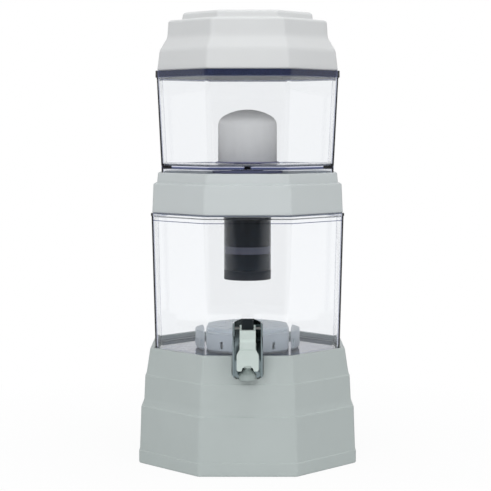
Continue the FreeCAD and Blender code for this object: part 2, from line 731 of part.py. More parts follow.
def cartridge_housing():
    """Dark tinted tube with a narrower neck in the cap and a narrower foot in the grid."""
    body = new_body("cartridge_housing")
    turned(body, "wall", [
        ("housing_bore / 2", "housing_foot"), ("neck_width / 2", "housing_foot"),
        ("neck_width / 2", "grid_top + seat_gap"), ("housing_width / 2", "grid_top + seat_gap"),
        ("housing_width / 2", "housing_top"), ("neck_width / 2", "housing_top"),
        ("neck_width / 2", "neck_top"), ("housing_bore / 2", "neck_top")])
    return body


def cartridge_grid():
    """Bottom cap of the cartridge with radial drain slots."""
    body = new_body("cartridge_grid")
    bore = "neck_width / 2 + bore_gap"
    turned(body, "cup", [
        ("0", "grid_foot"), ("housing_width / 2", "grid_foot"), ("housing_width / 2", "grid_top"),
        (bore, "grid_top"), (bore, "grid_foot + grid_floor"), ("0", "grid_foot + grid_floor")])
    slot = rectangle(new_sketch(body, "slot_outline", "XY_Plane", "grid_foot - 1"),
                     "6", "6 + grid_slot_length", "-grid_slot_width / 2", "grid_slot_width / 2")
    polar(body, "slots", straight(body, "slot", slot, "grid_floor + 2", cut=True), 12)
    return body


def cassette_dish():
    """Round dish for the minerals with outlet slots round its foot."""
    body = new_body("cassette_dish")
    turned(body, "dish", [
        ("0", "dish_foot"), ("dish_width / 2 - dish_round", "dish_foot"),
        ("dish_width / 2", "dish_foot + dish_round"), ("dish_width / 2", "dish_top"),
        ("dish_bore / 2", "dish_top"), ("dish_bore / 2", "dish_foot + dish_wall"),
        ("0", "dish_foot + dish_wall")])
    slot = rectangle(new_sketch(body, "slot_outline", "YZ_Plane", "dish_bore / 2 - 3"),
                     "-dish_slot_width / 2", "dish_slot_width / 2", "dish_foot + dish_round + 2",
                     "dish_foot + dish_round + 2 + dish_slot_height")
    feature = straight(body, "slot", slot, "dish_wall + 6", cut=True)
    pattern = polar(body, "slots", feature, 12)
    pattern.Axis = ([f for f in body.Origin.OriginFeatures if f.Role == "Z_Axis"][0], [""])
    return body


def cassette_lid():
    """Raised cover of the cassette with a ring of radial slots and a locating skirt."""
    body = new_body("cassette_lid")
    turned(body, "cover", [
        ("0", "crown_top - cover_height"), ("crown_width / 2 - cover_height", "crown_top - cover_height"),
        ("crown_width / 2 - cover_height", "cover_foot"),
        ("cover_skirt_width / 2 - cover_height", "cover_foot"),
        ("cover_skirt_width / 2 - cover_height", "cover_foot - cover_skirt"),
        ("cover_skirt_width / 2", "cover_foot - cover_skirt"), ("cover_skirt_width / 2", "cover_foot"),
        ("dish_width / 2", "cover_foot"), ("dish_width / 2", "cover_top"),
        ("crown_width / 2", "cover_top"), ("crown_width / 2", "crown_top - crown_round"),
        ("crown_width / 2 - crown_round", "crown_top"), ("0", "crown_top")])
    slot = rectangle(new_sketch(body, "slot_outline", "XY_Plane", "crown_top - cover_height - 1"),
                     "crown_width / 2 - 8 - crown_slot_length", "crown_width / 2 - 8",
                     "-crown_slot_width / 2", "crown_slot_width / 2")
    polar(body, "slots", straight(body, "slot", slot, "cover_height + 2", cut=True), 12)
    return body


def tap_fixings():
    """Two rubber washers and the nut that hold the tap on the tank's wall."""
    for name, front, length, width in (
            ("tap_washer_front", "boss_face", "tap_washer_height", "tap_washer_width"),
            ("tap_washer_rear", "washer_rear", "tap_washer_height", "tap_washer_width")):
        body = new_body(name)
        sketch = circle(new_sketch(body, "ring_outline", "XZ_Plane", front), width, "0", "tap_axis")
        circle(sketch, "tap_stem_width + 2 * bore_gap", "0", "tap_axis")
        straight(body, "ring", sketch, length)
    body = new_body("tap_nut")
    sketch = new_sketch(body, "nut_outline", "XZ_Plane", "nut_rear")
    corner = "nut_width / sqrt(3)"
    outline(sketch, [(f"{math.cos(math.radians(60 * k)):.9f} * {corner}",
                      f"tap_axis + {math.sin(math.radians(60 * k)):.9f} * {corner}")
                     for k in range(6)])
    circle(sketch, "tap_stem_width + 2 * bore_gap", "0", "tap_axis")
    straight(body, "nut", sketch, "nut_height")


def tap_body():
    """Valve chamber with its flanged stem; the water bore leads into the chamber."""
    body = new_body("tap_body")
    along_tap(body)
    tube(body, "chamber", "chamber_width", "0", "chamber_foot", "chamber_top")
    for name, width, front, length in (
            ("stem", "tap_stem_width", "stem_rear", "shroud_plate - stem_rear"),
            ("neck", "tap_neck_width", "stem_rear", "valve_axis - stem_rear"),
            ("collar", "tap_washer_width", "washer_front", "tap_collar_height")):
        plane = new_sketch(body, name + "_outline", "XZ_Plane", f"{front} - valve_axis")
        straight(body, name, circle(plane, width, "0", "tap_axis"), length)
    turned(body, "bore", [("0", "seat_top"), ("chamber_bore / 2", "seat_top"),
                          ("chamber_bore / 2", "chamber_top + 1"), ("0", "chamber_top + 1")],
           cut=True)
    turned(body, "outlet", [("0", "chamber_foot - 1"), ("outlet_bore / 2", "chamber_foot - 1"),
                            ("outlet_bore / 2", "seat_top + 1"), ("0", "seat_top + 1")], cut=True)
    passage = circle(new_sketch(body, "passage_outline", "XZ_Plane", "stem_rear - 1 - valve_axis"),
                     "water_bore", "0", "tap_axis")
    straight(body, "passage", passage, "valve_axis - stem_rear + 1", cut=True)
    return body


def tap_valve():
    """Bonnet, plunger with its head, soft cup and closing spring on the valve's axis."""
    body = new_body("tap_bonnet")
    along_tap(body)
    turned(body, "cap", [
        ("plunger_width / 2 + bore_gap", "chamber_top + seat_gap"),
        ("bonnet_width / 2", "chamber_top + seat_gap"), ("bonnet_width / 2", "bonnet_top - 2"),
        ("bonnet_width / 2 - 2", "bonnet_top"), ("plunger_width / 2 + bore_gap", "bonnet_top")])
    body = new_body("valve_plunger")
    along_tap(body)
    turned(body, "rod", [
        ("0", "cup_top"), ("plunger_width / 2 + 2", "cup_top"),
        ("plunger_width / 2 + 2", "cup_top + 1"), ("plunger_width / 2", "cup_top + 1"),
        ("plunger_width / 2", "head_foot"), ("plunger_head / 2", "head_foot"),
        ("plunger_head / 2", "head_top"), ("0", "head_top")])
    body = new_body("valve_cup")
    along_tap(body)
    turned(body, "cup", [
        ("0", "seat_top + seat_gap"), ("outlet_bore / 2", "seat_top + seat_gap"),
        ("cup_width / 2", "seat_top + cup_height / 3"), ("cup_width / 2", "cup_top"),
        ("0", "cup_top")])


def valve_spring():
    """Closing spring of square wire: a ruled loft through sections along its helix."""
    steps = 8 * int(sizes.spring_turns)
    wire = float(sizes.spring_wire)
    radius = float(sizes.spring_width) / 2
    low = float(places.cup_top) + 1 + float(sizes.bore_gap)
    climb = float(places.chamber_top) - low - wire - float(sizes.bore_gap)
    sections = []
    for step in range(steps + 1):
        turn = 2 * math.pi * step * float(sizes.spring_turns) / steps
        level = low + climb * step / steps
        corners = []
        for out, up in ((-0.5, 0), (0.5, 0), (0.5, 1), (-0.5, 1), (-0.5, 0)):
            reach = radius + out * wire
            corners.append(FreeCAD.Vector(reach * math.cos(turn), reach * math.sin(turn),
                                          level + up * wire))
        sections.append(Part.makePolygon(corners))
    spring = doc.addObject("Part::Feature", "valve_spring")
    spring.Label = "valve_spring"
    spring.Shape = Part.makeLoft(sections, True, True)
    spring.Placement = FreeCAD.Placement(FreeCAD.Vector(0, -float(places.valve_axis), 0),
                                         FreeCAD.Rotation())


def tap_spout():
    """Grey nozzle: neck in the chamber's outlet, flared skirt with a ring round its foot."""
    body = new_body("tap_spout")
    along_tap(body)
    turned(body, "nozzle", [
        ("spout_neck / 2 - spout_wall", "chamber_foot + spigot_height"),
        ("outlet_bore / 2 - spigot_gap", "chamber_foot + spigot_height"),
        ("outlet_bore / 2 - spigot_gap", "chamber_foot - spigot_height"),
        ("spout_width / 2", "spout_foot + spout_foot_height"), ("spout_width / 2", "spout_foot"),
        ("spout_width / 2 - spout_wall", "spout_foot"),
        ("spout_width / 2 - spout_wall", "spout_foot + spout_foot_height"),
        ("spout_neck / 2 - spout_wall", "chamber_foot - 4.5")])
    return body


def tap_shroud():
    """U-shaped channel round the valve: back plate with an arched top, and two cheeks."""
    body = new_body("tap_shroud")
    outer = "shroud_width / 2"
    inner = "(shroud_width / 2 - shroud_wall)"
    plan = new_sketch(body, "channel_plan", "XY_Plane", "shroud_foot")
    outline(plan, [("-" + outer, "-shroud_back"), ("-" + outer, "-shroud_front"),
                   ("-" + inner, "-shroud_front"), ("-" + inner, "-shroud_plate"),
                   (inner, "-shroud_plate"), (inner, "-shroud_front"),
                   (outer, "-shroud_front"), (outer, "-shroud_back")])
    straight(body, "channel", plan, "shroud_top + shroud_arch - shroud_foot")
    top = new_sketch(body, "arch_outline", "XZ_Plane", "shroud_back - 1")
    outline(top, [("-shroud_width / 2 - 1", "shroud_top - 0.3"),
                  ("-shroud_width / 5", "shroud_top + shroud_arch"),
                  ("shroud_width / 5", "shroud_top + shroud_arch"),
                  ("shroud_width / 2 + 1", "shroud_top - 0.3"),
                  ("shroud_width / 2 + 1", "shroud_top + shroud_arch + 1"),
                  ("-shroud_width / 2 - 1", "shroud_top + shroud_arch + 1")])
    straight(body, "arch", top, "shroud_depth + 2", cut=True)
    foot = new_sketch(body, "foot_outline", "XZ_Plane", "shroud_back - 1")
    for side in ("", "-"):
        outline(foot, [(f"{side}(shroud_width / 2 + 1)", "shroud_foot - 1"),
                       (f"{side}(shroud_width / 2 + 1)", "shroud_foot + shroud_chamfer + 1"),
                       (f"{side}(shroud_width / 2 - shroud_chamfer - 1)", "shroud_foot - 1")])
    straight(body, "foot", foot, "shroud_depth + 2", cut=True)
    side = new_sketch(body, "front_outline", "YZ_Plane")
    outline(side, [("-shroud_front - 1", "shroud_foot - 1"),
                   ("-shroud_front + shroud_front_slope", "shroud_foot - 1"),
                   ("-shroud_front - 1", "tap_axis")])
    straight(body, "front", side, "shroud_width + 4", cut=True, both=True)
    crown = new_sketch(body, "crown_outline", "YZ_Plane")
    outline(crown, [("-shroud_front - 1", "shroud_top - 14"), ("-shroud_plate - 2", "shroud_top + 8"),
                    ("-shroud_front - 1", "shroud_top + 8")])
    straight(body, "crown", crown, "shroud_width + 4", cut=True, both=True)
    stem = circle(new_sketch(body, "stem_outline", "XZ_Plane", "shroud_back - 1"),
                  "tap_stem_width + 2 * bore_gap", "0", "tap_axis")
    straight(body, "stem_hole", stem, "shroud_wall + 2", cut=True)
    pin = circle(new_sketch(body, "pin_outline", "YZ_Plane"), "pin_width + 0.2",
                 "-pin_line", "pin_axis")
    straight(body, "pin_holes", pin, "shroud_width + 4", cut=True, both=True)
    return body


def lever_pin():
    """Pin from cheek to cheek that the lever turns on."""
    body = new_body("lever_pin")
    pin = circle(new_sketch(body, "pin_outline", "YZ_Plane"), "pin_width", "-pin_line", "pin_axis")
    straight(body, "pin", pin, "shroud_width - 0.4", both=True)
    return body


def tap_lever():
    """White lever: hub on its pin, hook under the plunger's head, ridge and front paddle."""
    body = new_body("tap_lever")
    side = new_sketch(body, "side_outline", "YZ_Plane")
    outline(side, [
        ("-pin_line + lever_hub / 2", "pin_axis + lever_hub / 4"),
        ("-pin_line + lever_hub / 4", "pin_axis + lever_hub / 2"),
        ("-pin_line - lever_hub / 4", "pin_axis + lever_hub / 2"),
        ("-pin_line - lever_hub / 2", "lever_top"),
        ("-paddle_front + 1.5", "lever_top"), ("-paddle_front", "lever_top - 1.5"),
        ("-paddle_front", "tap_axis + 15.5"), ("-paddle_front - bump_reach * 0.8", "tap_axis + 12.5"),
        ("-paddle_front - bump_reach", "tap_axis + 8"), ("-paddle_front - bump_reach * 0.6", "tap_axis + 4"),
        ("-paddle_front", "tap_axis + 2.5"), ("-paddle_back", "tap_axis + 2.5"),
        ("-paddle_back", "ledge_top - 4"), ("-valve_axis + 2.5", "ledge_top - 3"),
        ("-pin_line + lever_hub / 2", "pin_axis - lever_hub / 2")])
    straight(body, "block", side, "lever_width", both=True)
    hook = new_sketch(body, "hook_outline", "YZ_Plane", "-lever_width / 2 + 2")
    outline(hook, [
        ("-valve_axis - 2.4", "ledge_top - 8"), ("-valve_axis - 2.4", "ledge_top"),
        ("-valve_axis - plunger_head / 2 - 0.4", "ledge_top"),
        ("-valve_axis - plunger_head / 2 - 0.4", "pin_axis - 3.4"),
        ("-valve_axis + 5.9", "pin_axis - 3.4"), ("-valve_axis + 5.9", "ledge_top - 8")])
    straight(body, "hook", hook, "lever_width", cut=True)
    pin = circle(new_sketch(body, "pin_outline", "YZ_Plane"), "pin_width + 0.2",
                 "-pin_line", "pin_axis")
    straight(body, "pin_hole", pin, "lever_width + 4", cut=True, both=True)
    plate = new_sketch(body, "paddle_outline", "XZ_Plane", "paddle_back")
    half = "paddle_width / 2"
    inset = "(paddle_width / 2 - leg_width)"
    outline(plate, [
        ("-lever_width / 2", "tap_axis + 4"), ("-" + half, "tap_axis - 3"),
        ("-" + half, "chamber_foot - 1.5"), ("-" + half + " + 1.5", "chamber_foot - 3"),
        ("-" + inset, "chamber_foot - 3"), ("-" + inset + " + 1.2", "chamber_foot + 0.5"),
        ("-" + inset + " + 4", "chamber_foot + 3"), (inset + " - 4", "chamber_foot + 3"),
        (inset + " - 1.2", "chamber_foot + 0.5"), (inset, "chamber_foot - 3"),
        (half + " - 1.5", "chamber_foot - 3"), (half, "chamber_foot - 1.5"),
        (half, "tap_axis - 3"), ("lever_width / 2", "tap_axis + 4")])
    straight(body, "paddle", plate, "paddle_thickness")
    tongue = rectangle(new_sketch(body, "tongue_plan", "XY_Plane", "lever_top - 1"),
                       "-tongue_width / 2", "tongue_width / 2",
                       "-valve_axis - tongue_depth / 2 - 1", "-valve_axis + tongue_depth / 2 - 1")
    straight(body, "tongue", tongue, "tongue_height + 1")
    return body


def lever_pad():
    """Soft pad pushed over the lever's tongue."""
    body = new_body("lever_pad")
    plan = rectangle(new_sketch(body, "pad_plan", "XY_Plane", "lever_top"),
                     "-pad_width / 2", "pad_width / 2",
                     "-valve_axis - pad_depth / 2 - 1", "-valve_axis + pad_depth / 2 - 1")
    pad = straight(body, "pad", plan, "pad_height")
    doc.recompute()
    edges = [f"Edge{i}" for i, edge in enumerate(pad.Shape.Edges, start=1)
             if edge.BoundBox.ZMax > value_of("lever_top") + 1]
    rounding = body.newObject("PartDesign::Chamfer", "rounding")
    rounding.Base = (pad, edges)
    rounding.Size = 1.6
    body.Tip = rounding
    socket = rectangle(new_sketch(body, "socket_plan", "XY_Plane", "lever_top - 1"),
                       "-tongue_width / 2", "tongue_width / 2",
                       "-valve_axis - tongue_depth / 2 - 1", "-valve_axis + tongue_depth / 2 - 1")
    straight(body, "socket", socket, "tongue_height + 1", cut=True)
    return body


base_shell()
lower_tank()
middle_ring()
upper_tank()
lid_shell()
ceramic_dome()
dome_plate()
simple_rings()
cartridge_cap()
cartridge_housing()
cartridge_grid()
cassette_dish()
cassette_lid()
tap_fixings()
tap_body()
tap_valve()
valve_spring()
tap_spout()
tap_shroud()
lever_pin()
tap_lever()
lever_pad()
doc.recompute()

os.makedirs("parts", exist_ok=True)
faults = [f"{item.Name}: {item.State}" for item in doc.Objects
          if "Invalid" in item.State or "Error" in item.State]
pieces = [item for item in doc.Objects
          if item.TypeId in ("PartDesign::Body", "Part::Feature")]
for piece in pieces:
    if piece.Shape.isNull() or not piece.Shape.isValid():
        faults.append(f"{piece.Label}: no valid shape")
if faults:
    raise RuntimeError("; ".join(faults))
for piece in pieces:
    piece.Shape.exportStep(f"parts/{piece.Label}.step")
    box = piece.Shape.BoundBox
    print(f"{piece.Label}: {len(piece.Shape.Solids)} solid, {piece.Shape.Volume:.0f} mm3, "
          f"z {box.ZMin:.2f} to {box.ZMax:.2f}, y {box.YMin:.2f} to {box.YMax:.2f}")
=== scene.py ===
import json
import math

import bmesh
import bpy
import numpy as np
from bpy.props import FloatProperty, FloatVectorProperty, IntProperty, StringProperty
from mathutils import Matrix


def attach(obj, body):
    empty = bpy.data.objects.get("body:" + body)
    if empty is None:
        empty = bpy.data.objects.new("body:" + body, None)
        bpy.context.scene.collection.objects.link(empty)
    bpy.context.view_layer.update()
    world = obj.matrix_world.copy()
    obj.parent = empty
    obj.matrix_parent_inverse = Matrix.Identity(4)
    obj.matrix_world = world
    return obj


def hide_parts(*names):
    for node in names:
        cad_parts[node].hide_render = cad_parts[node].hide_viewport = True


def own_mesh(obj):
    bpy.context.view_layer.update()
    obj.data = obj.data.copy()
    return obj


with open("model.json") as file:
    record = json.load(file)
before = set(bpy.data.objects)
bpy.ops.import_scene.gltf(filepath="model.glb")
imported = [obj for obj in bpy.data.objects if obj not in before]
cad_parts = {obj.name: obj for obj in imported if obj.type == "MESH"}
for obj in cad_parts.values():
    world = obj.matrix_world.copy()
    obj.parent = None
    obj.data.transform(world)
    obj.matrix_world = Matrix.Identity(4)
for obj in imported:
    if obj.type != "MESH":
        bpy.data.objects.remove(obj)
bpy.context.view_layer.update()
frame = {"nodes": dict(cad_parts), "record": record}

bl_info = {
    "name": "Gravity Water Filter",
    "version": (1, 0, 0),
    "blender": (4, 5, 0),
    "location": "3D View > Sidebar > Water Filter",
    "description": "Dresses a gravity water filter: stepped shells, clear tanks, dome, cartridge and tap",
    "category": "Object",
}

MM = 0.001
# The diagonal flats lie this far, in mm, outside the main ones.
EASE = 2.4
# Points this far, in mm, from a curve keep the flat beside it straight under smooth shading.
HOLD = 0.8
# Near the axis the corner radius, and EASE and HOLD, are shares of the half width instead.
CORNER_SHARE = 0.3
NARROW_SHARE = 0.05
# A curve takes at most this share of the shorter side beside its corner.
CURVE_SHARE = 0.48
# A holding point takes at most this share of what a curve leaves of half a side.
HOLD_SHARE = 0.2
# Lengths in mm below this count as nothing.
TINY = 1e-6

# Heights in mm of painted shade on the tanks, dark bands where thick clear edges are seen
# edge-on: the upper tank's lip and floor, two lines at the lower tank's lip, and its floor.
SHADED_EDGE_BANDS = ((471.2, 478.9), (360.9, 363.2), (297.4, 298.2), (306.0, 306.9), (133.6, 135.2))
# The tanks' corners nearest the sides carry a painted shade, a dark line: its bearing from X
# and half its width, in degrees, and how strong the painted shade is.
SHADED_CORNER_BEARING = 22.5
SHADED_CORNER_SPREAD = 1.1
CORNER_SHADE = 0.9
# Heights in mm of the cartridge's paler band, whose middle is about 5 mm above the felt pad's.
FELT_BAND = (254.0, 262.8)

# The height of the tap's stem, and the Y of its valve's axis in front of the tank, in mm.
TAP_HEIGHT = 150.2
VALVE_AXIS = -133.98
# Edges that turn by more than this many degrees are rounded on the copies of CAD nodes.
COPY_ANGLE = 28
# Facets of a CAD node that differ by less than this many degrees become one face.
FLAT_ANGLE = 1
# Corners of a CAD node that lie closer than this, in metres, are merged.
MERGE = 1e-6

# The stones: the same seed gives the same ones each time. Sizes and places are in mm.
SEED = 11
STONE_RADII = (2.2, 3.6)
STONE_STRETCH = (0.7, 1.15)
STONE_ROUGHNESS = 0.18
BED_RADIUS = 56.5
BED_HEIGHTS = (141.8, 147.8)

# Softboxes: name, place, height that they are turned to, side in metres and watts.
LAMPS = (("key", (-0.35, -2.1, 1.1), 0.28, 1.2, 17),
         ("fill", (1.3, -1.7, 0.8), 0.28, 1.0, 3),
         ("top", (0.1, -0.2, 1.9), 0.3, 1.2, 11))
# How far the floor reaches back and to both sides, and its edge towards the camera, in metres.
FLOOR_HALF = 30.0
FLOOR_NEAR = -1.2
# How bright the even world is as a light.
WORLD_LEVEL = 0.46

# The finish for each slot, filled by main before the pieces are made.
materials = {}


def linear(text):
    """An sRGB hex colour as linear red, green, blue and alpha."""
    parts = np.array([int(text[i:i + 2], 16) for i in (1, 3, 5)]) / 255
    low = parts / 12.92
    high = ((parts + 0.055) / 1.055) ** 2.4
    return (*np.where(parts <= 0.04045, low, high).tolist(), 1.0)


def add_node(tree, kind, settings=None, links=None):
    """Adds a shader node: settings fill its inputs or properties, links feed its inputs."""
    item = tree.nodes.new(kind)
    for key, value in (settings or {}).items():
        if isinstance(key, int) or key in item.inputs:
            item.inputs[key].default_value = value
        else:
            setattr(item, key, value)
    for key, source in (links or {}).items():
        tree.links.new(source, item.inputs[key])
    return item


def new_material(name):
    """An empty node material and its tree."""
    material = bpy.data.materials.new(name)
    material.use_nodes = True
    material.node_tree.nodes.clear()
    return material, material.node_tree


def surface(tree, shader, volume=None):
    """Joins a shader, and a volume if there is one, to the material's output."""
    out = add_node(tree, "ShaderNodeOutputMaterial", links={"Surface": shader})
    if volume is not None:
        tree.links.new(volume, out.inputs["Volume"])


def mottled(tree, colour, second, size_mm):
    """Two near colours mixed by soft noise of a real size."""
    place = add_node(tree, "ShaderNodeTexCoord")
    cloud = add_node(tree, "ShaderNodeTexNoise", {"Scale": 1 / (size_mm * MM), "Detail": 3.0},
                     {"Vector": place.outputs["Object"]})
    ramp = add_node(tree, "ShaderNodeMix", {"data_type": "RGBA", 6: linear(colour), 7: linear(second)},
                    {0: cloud.outputs["Fac"]})
    return ramp.outputs[2]


def grain(tree, size_mm, height_mm, strength):
    """A bump of fine noise: size_mm is the grain, height_mm how far it stands out."""
    place = add_node(tree, "ShaderNodeTexCoord")
    cloud = add_node(tree, "ShaderNodeTexNoise", {"Scale": 1 / (size_mm * MM), "Detail": 2.0},
                     {"Vector": place.outputs["Object"]})
    return add_node(tree, "ShaderNodeBump", {"Strength": strength, "Distance": height_mm * MM},
                    {"Height": cloud.outputs["Fac"]}).outputs["Normal"]


def moulded_plastic(name, colour, second, roughness=0.42):
    """Injection-moulded ABS: even colour, satin gloss, and a spark-eroded mould's faint grain.

    The real grain is near 0.1 mm; it is drawn at 0.9 mm so that it shows.
    """
    material, tree = new_material(name)
    shader = add_node(tree, "ShaderNodeBsdfPrincipled", {"Roughness": roughness, "IOR": 1.53},
                      {"Base Color": mottled(tree, colour, second, 45),
                       "Normal": grain(tree, 0.9, 0.02, 0.35)})
    surface(tree, shader.outputs[0])
    return material


def height_band(tree, height, low, high):
    """1 where a height lies between low and high mm, and 0 elsewhere."""
    band = add_node(tree, "ShaderNodeMath", {"operation": "COMPARE", 1: (low + high) / 2 * MM,
                                             2: (high - low) / 2 * MM}, {0: height})
    return band.outputs[0]


def clear_plastic(name, tint, shade_bands, shade_colour, depth):
    """Clear moulded SAN: refracts, and tints with depth.

    The bands are (low, high) heights in mm where the thick lips and floors get a painted shade, the
    dark line that they show edge-on. The upright corners nearest the sides get it too. The walls are
    slightly wavy, as moulded ones are.
    """
    material, tree = new_material(name)
    place = add_node(tree, "ShaderNodeTexCoord")
    spot = add_node(tree, "ShaderNodeSeparateXYZ", links={0: place.outputs["Object"]})
    across = add_node(tree, "ShaderNodeMath", {"operation": "ABSOLUTE"}, {0: spot.outputs["X"]})
    along = add_node(tree, "ShaderNodeMath", {"operation": "ABSOLUTE"}, {0: spot.outputs["Y"]})
    bearing = add_node(tree, "ShaderNodeMath", {"operation": "ARCTAN2"},
                       {0: along.outputs[0], 1: across.outputs[0]})
    # Painted shade: a dark line down each corner nearest the sides.
    corner = add_node(tree, "ShaderNodeMath", {"operation": "COMPARE", 1: math.radians(SHADED_CORNER_BEARING),
                                               2: math.radians(SHADED_CORNER_SPREAD)}, {0: bearing.outputs[0]})
    painted_shade = add_node(tree, "ShaderNodeMath", {"operation": "MULTIPLY", 1: CORNER_SHADE},
                     {0: corner.outputs[0]})
    # Painted shade: dark bands where the thick lips and floors are seen edge-on.
    for low, high in shade_bands:
        painted_shade = add_node(tree, "ShaderNodeMath", {"operation": "MAXIMUM"},
                         {0: painted_shade.outputs[0], 1: height_band(tree, spot.outputs["Z"], low, high)})
    # The wall's colour, with the painted shade of the bands and corners in it.
    colour = add_node(tree, "ShaderNodeMix", {"data_type": "RGBA", 6: linear(tint), 7: linear(shade_colour)},
                      {0: painted_shade.outputs[0]})
    shader = add_node(tree, "ShaderNodeBsdfPrincipled",
                      {"Roughness": 0.02, "IOR": 1.49, "Transmission Weight": 1.0},
                      {"Base Color": colour.outputs[2], "Normal": grain(tree, 60, 0.25, 0.25)})
    clear = add_node(tree, "ShaderNodeBsdfTransparent", {"Color": linear("#f6f8fb")})
    path = add_node(tree, "ShaderNodeLightPath")
    mixed = add_node(tree, "ShaderNodeMixShader", links={0: path.outputs["Is Shadow Ray"],
                                                         1: shader.outputs[0], 2: clear.outputs[0]})
    volume = add_node(tree, "ShaderNodeVolumeAbsorption", {"Color": linear("#8f9bd0"), "Density": depth})
    surface(tree, mixed.outputs[0], volume.outputs[0])
    return material


def frosted_plastic(name, colour, second):
    """Frosted blue-grey polypropylene: lets a part of the light through, blurred."""
    material, tree = new_material(name)
    shader = add_node(tree, "ShaderNodeBsdfPrincipled",
                      {"Roughness": 0.32, "IOR": 1.49, "Transmission Weight": 0.25, "Alpha": 0.75},
                      {"Base Color": mottled(tree, colour, second, 20)})
    surface(tree, shader.outputs[0])
    return material


def unglazed_ceramic():
    """Fired diatomite ceramic: chalky, fine pores, no gloss.

    The real pores are microns wide; they are drawn at 1.1 mm so that they show.
    """
    material, tree = new_material("unglazed_ceramic")
    shader = add_node(tree, "ShaderNodeBsdfPrincipled", {"Roughness": 0.85, "IOR": 1.5},
                      {"Base Color": mottled(tree, "#efeeec", "#e5e4e2", 6),
                       "Normal": grain(tree, 1.1, 0.06, 0.5)})
    surface(tree, shader.outputs[0])
    return material


def smoke_plastic():
    """Smoke-tinted polycarbonate tube filled with carbon: near black with a sharp gloss.

    A paler band runs round it, as felt behind the wall gives.
    """
    material, tree = new_material("smoke_polycarbonate")
    place = add_node(tree, "ShaderNodeTexCoord")
    spot = add_node(tree, "ShaderNodeSeparateXYZ", links={0: place.outputs["Object"]})
    colour = add_node(tree, "ShaderNodeMix", {"data_type": "RGBA", 7: linear("#565866")},
                      {0: height_band(tree, spot.outputs["Z"], *FELT_BAND),
                       6: mottled(tree, "#0c1822", "#131d28", 9)})
    shader = add_node(tree, "ShaderNodeBsdfPrincipled", {"Roughness": 0.16, "IOR": 1.58},
                      {"Base Color": colour.outputs[2]})
    surface(tree, shader.outputs[0])
    return material


def rubber(name, colour, second):
    """Moulded rubber: soft sheen, slightly dusty.

    The real texture is under 0.1 mm; it is drawn at 0.6 mm so that it shows.
    """
    material, tree = new_material(name)
    shader = add_node(tree, "ShaderNodeBsdfPrincipled", {"Roughness": 0.62, "IOR": 1.52},
                      {"Base Color": mottled(tree, colour, second, 3),
                       "Normal": grain(tree, 0.6, 0.03, 0.4)})
    surface(tree, shader.outputs[0])
    return material


def granules(name, dark, light, size_mm):
    """Crushed carbon or felt seen as packed grains: cells of the grain's own size."""
    material, tree = new_material(name)
    place = add_node(tree, "ShaderNodeTexCoord")
    cells = add_node(tree, "ShaderNodeTexVoronoi", {"Scale": 1 / (size_mm * MM)},
                     {"Vector": place.outputs["Object"]})
    colour = add_node(tree, "ShaderNodeMix", {"data_type": "RGBA", 6: linear(dark), 7: linear(light)},
                      {0: cells.outputs["Distance"]})
    bump = add_node(tree, "ShaderNodeBump", {"Strength": 0.8, "Distance": 0.3 * MM},
                    {"Height": cells.outputs["Distance"]})
    shader = add_node(tree, "ShaderNodeBsdfPrincipled", {"Roughness": 0.8},
                      {"Base Color": colour.outputs[2], "Normal": bump.outputs[0]})
    surface(tree, shader.outputs[0])
    return material


def smoked_chrome():
    """Smoke-tinted bright plating on plastic: a grey mirror with a fine haze."""
    material, tree = new_material("smoked_chrome")
    shader = add_node(tree, "ShaderNodeBsdfPrincipled", {"Metallic": 1.0, "Roughness": 0.16},
                      {"Base Color": mottled(tree, "#8d9a9c", "#7f8c90", 12)})
    surface(tree, shader.outputs[0])
    return material


def stainless_steel():
    """Stainless steel wire and pin: bright, with a slight haze."""
    material, tree = new_material("stainless_steel")
    shader = add_node(tree, "ShaderNodeBsdfPrincipled", {"Metallic": 1.0, "Roughness": 0.3},
                      {"Base Color": mottled(tree, "#c4c4c2", "#b2b2b0", 2)})
    surface(tree, shader.outputs[0])
    return material


def river_stone():
    """Tumbled mineral pebbles in grey-blue and white, each with its own shade by place."""
    material, tree = new_material("tumbled_stone")
    place = add_node(tree, "ShaderNodeTexCoord")
    cells = add_node(tree, "ShaderNodeTexVoronoi", {"Scale": 1 / (7 * MM)},
                     {"Vector": place.outputs["Object"]})
    ramp = add_node(tree, "ShaderNodeValToRGB", links={0: cells.outputs["Color"]})
    ramp.color_ramp.elements[0].color = linear("#7d8a94")
    ramp.color_ramp.elements[1].color = linear("#d5dade")
    shader = add_node(tree, "ShaderNodeBsdfPrincipled", {"Roughness": 0.6},
                      {"Base Color": ramp.outputs[0], "Normal": grain(tree, 1.5, 0.1, 0.5)})
    surface(tree, shader.outputs[0])
    return material


def build_materials(look):
    """Every finish of the object, by slot."""
    return {
        "stand_plastic": moulded_plastic("stand_abs", look.stand_hex, "#bac2c0"),
        "ring_plastic": moulded_plastic("ring_abs", look.ring_hex, "#cacfd0"),
        "lid_plastic": moulded_plastic("lid_abs", look.lid_hex, "#dadbdb"),
        # The tanks' clear walls, with painted shade at their lips, floors and side corners.
        "tank_clear": clear_plastic("tank_san", "#fdfeff", SHADED_EDGE_BANDS, look.edge_shade_hex, look.tint_depth),
        "cassette_clear": frosted_plastic("cassette_polypropylene", "#ecf4fa", "#e4edf5"),
        "ceramic": unglazed_ceramic(),
        "plate_plastic": moulded_plastic("plate_abs", "#8486a6", "#7b7d98", 0.5),
        "soft_rubber": rubber("black_nitrile", "#202124", "#292a2d"),
        "silicone": rubber("white_silicone", "#d8d8d2", "#cfcfc9"),
        "cartridge_tint": smoke_plastic(),
        "cartridge_dark": moulded_plastic("dark_abs", "#151d28", "#1b232d", 0.45),
        "carbon": granules("crushed_carbon", "#050505", "#1d1d20", 1.2),
        "felt": granules("needled_felt", "#4a4b56", "#5d5e69", 0.8),
        "minerals": river_stone(),
        "tap_white": moulded_plastic("tap_abs", "#c4d0cb", "#ccd7d2", 0.3),
        "tap_grey": moulded_plastic("nozzle_abs", "#98a3a0", "#a1aca9", 0.35),
        "shroud_smoke": smoked_chrome(),
        "pad_black": rubber("black_soft_touch", "#081318", "#0d191e"),
        "steel": stainless_steel(),
    }


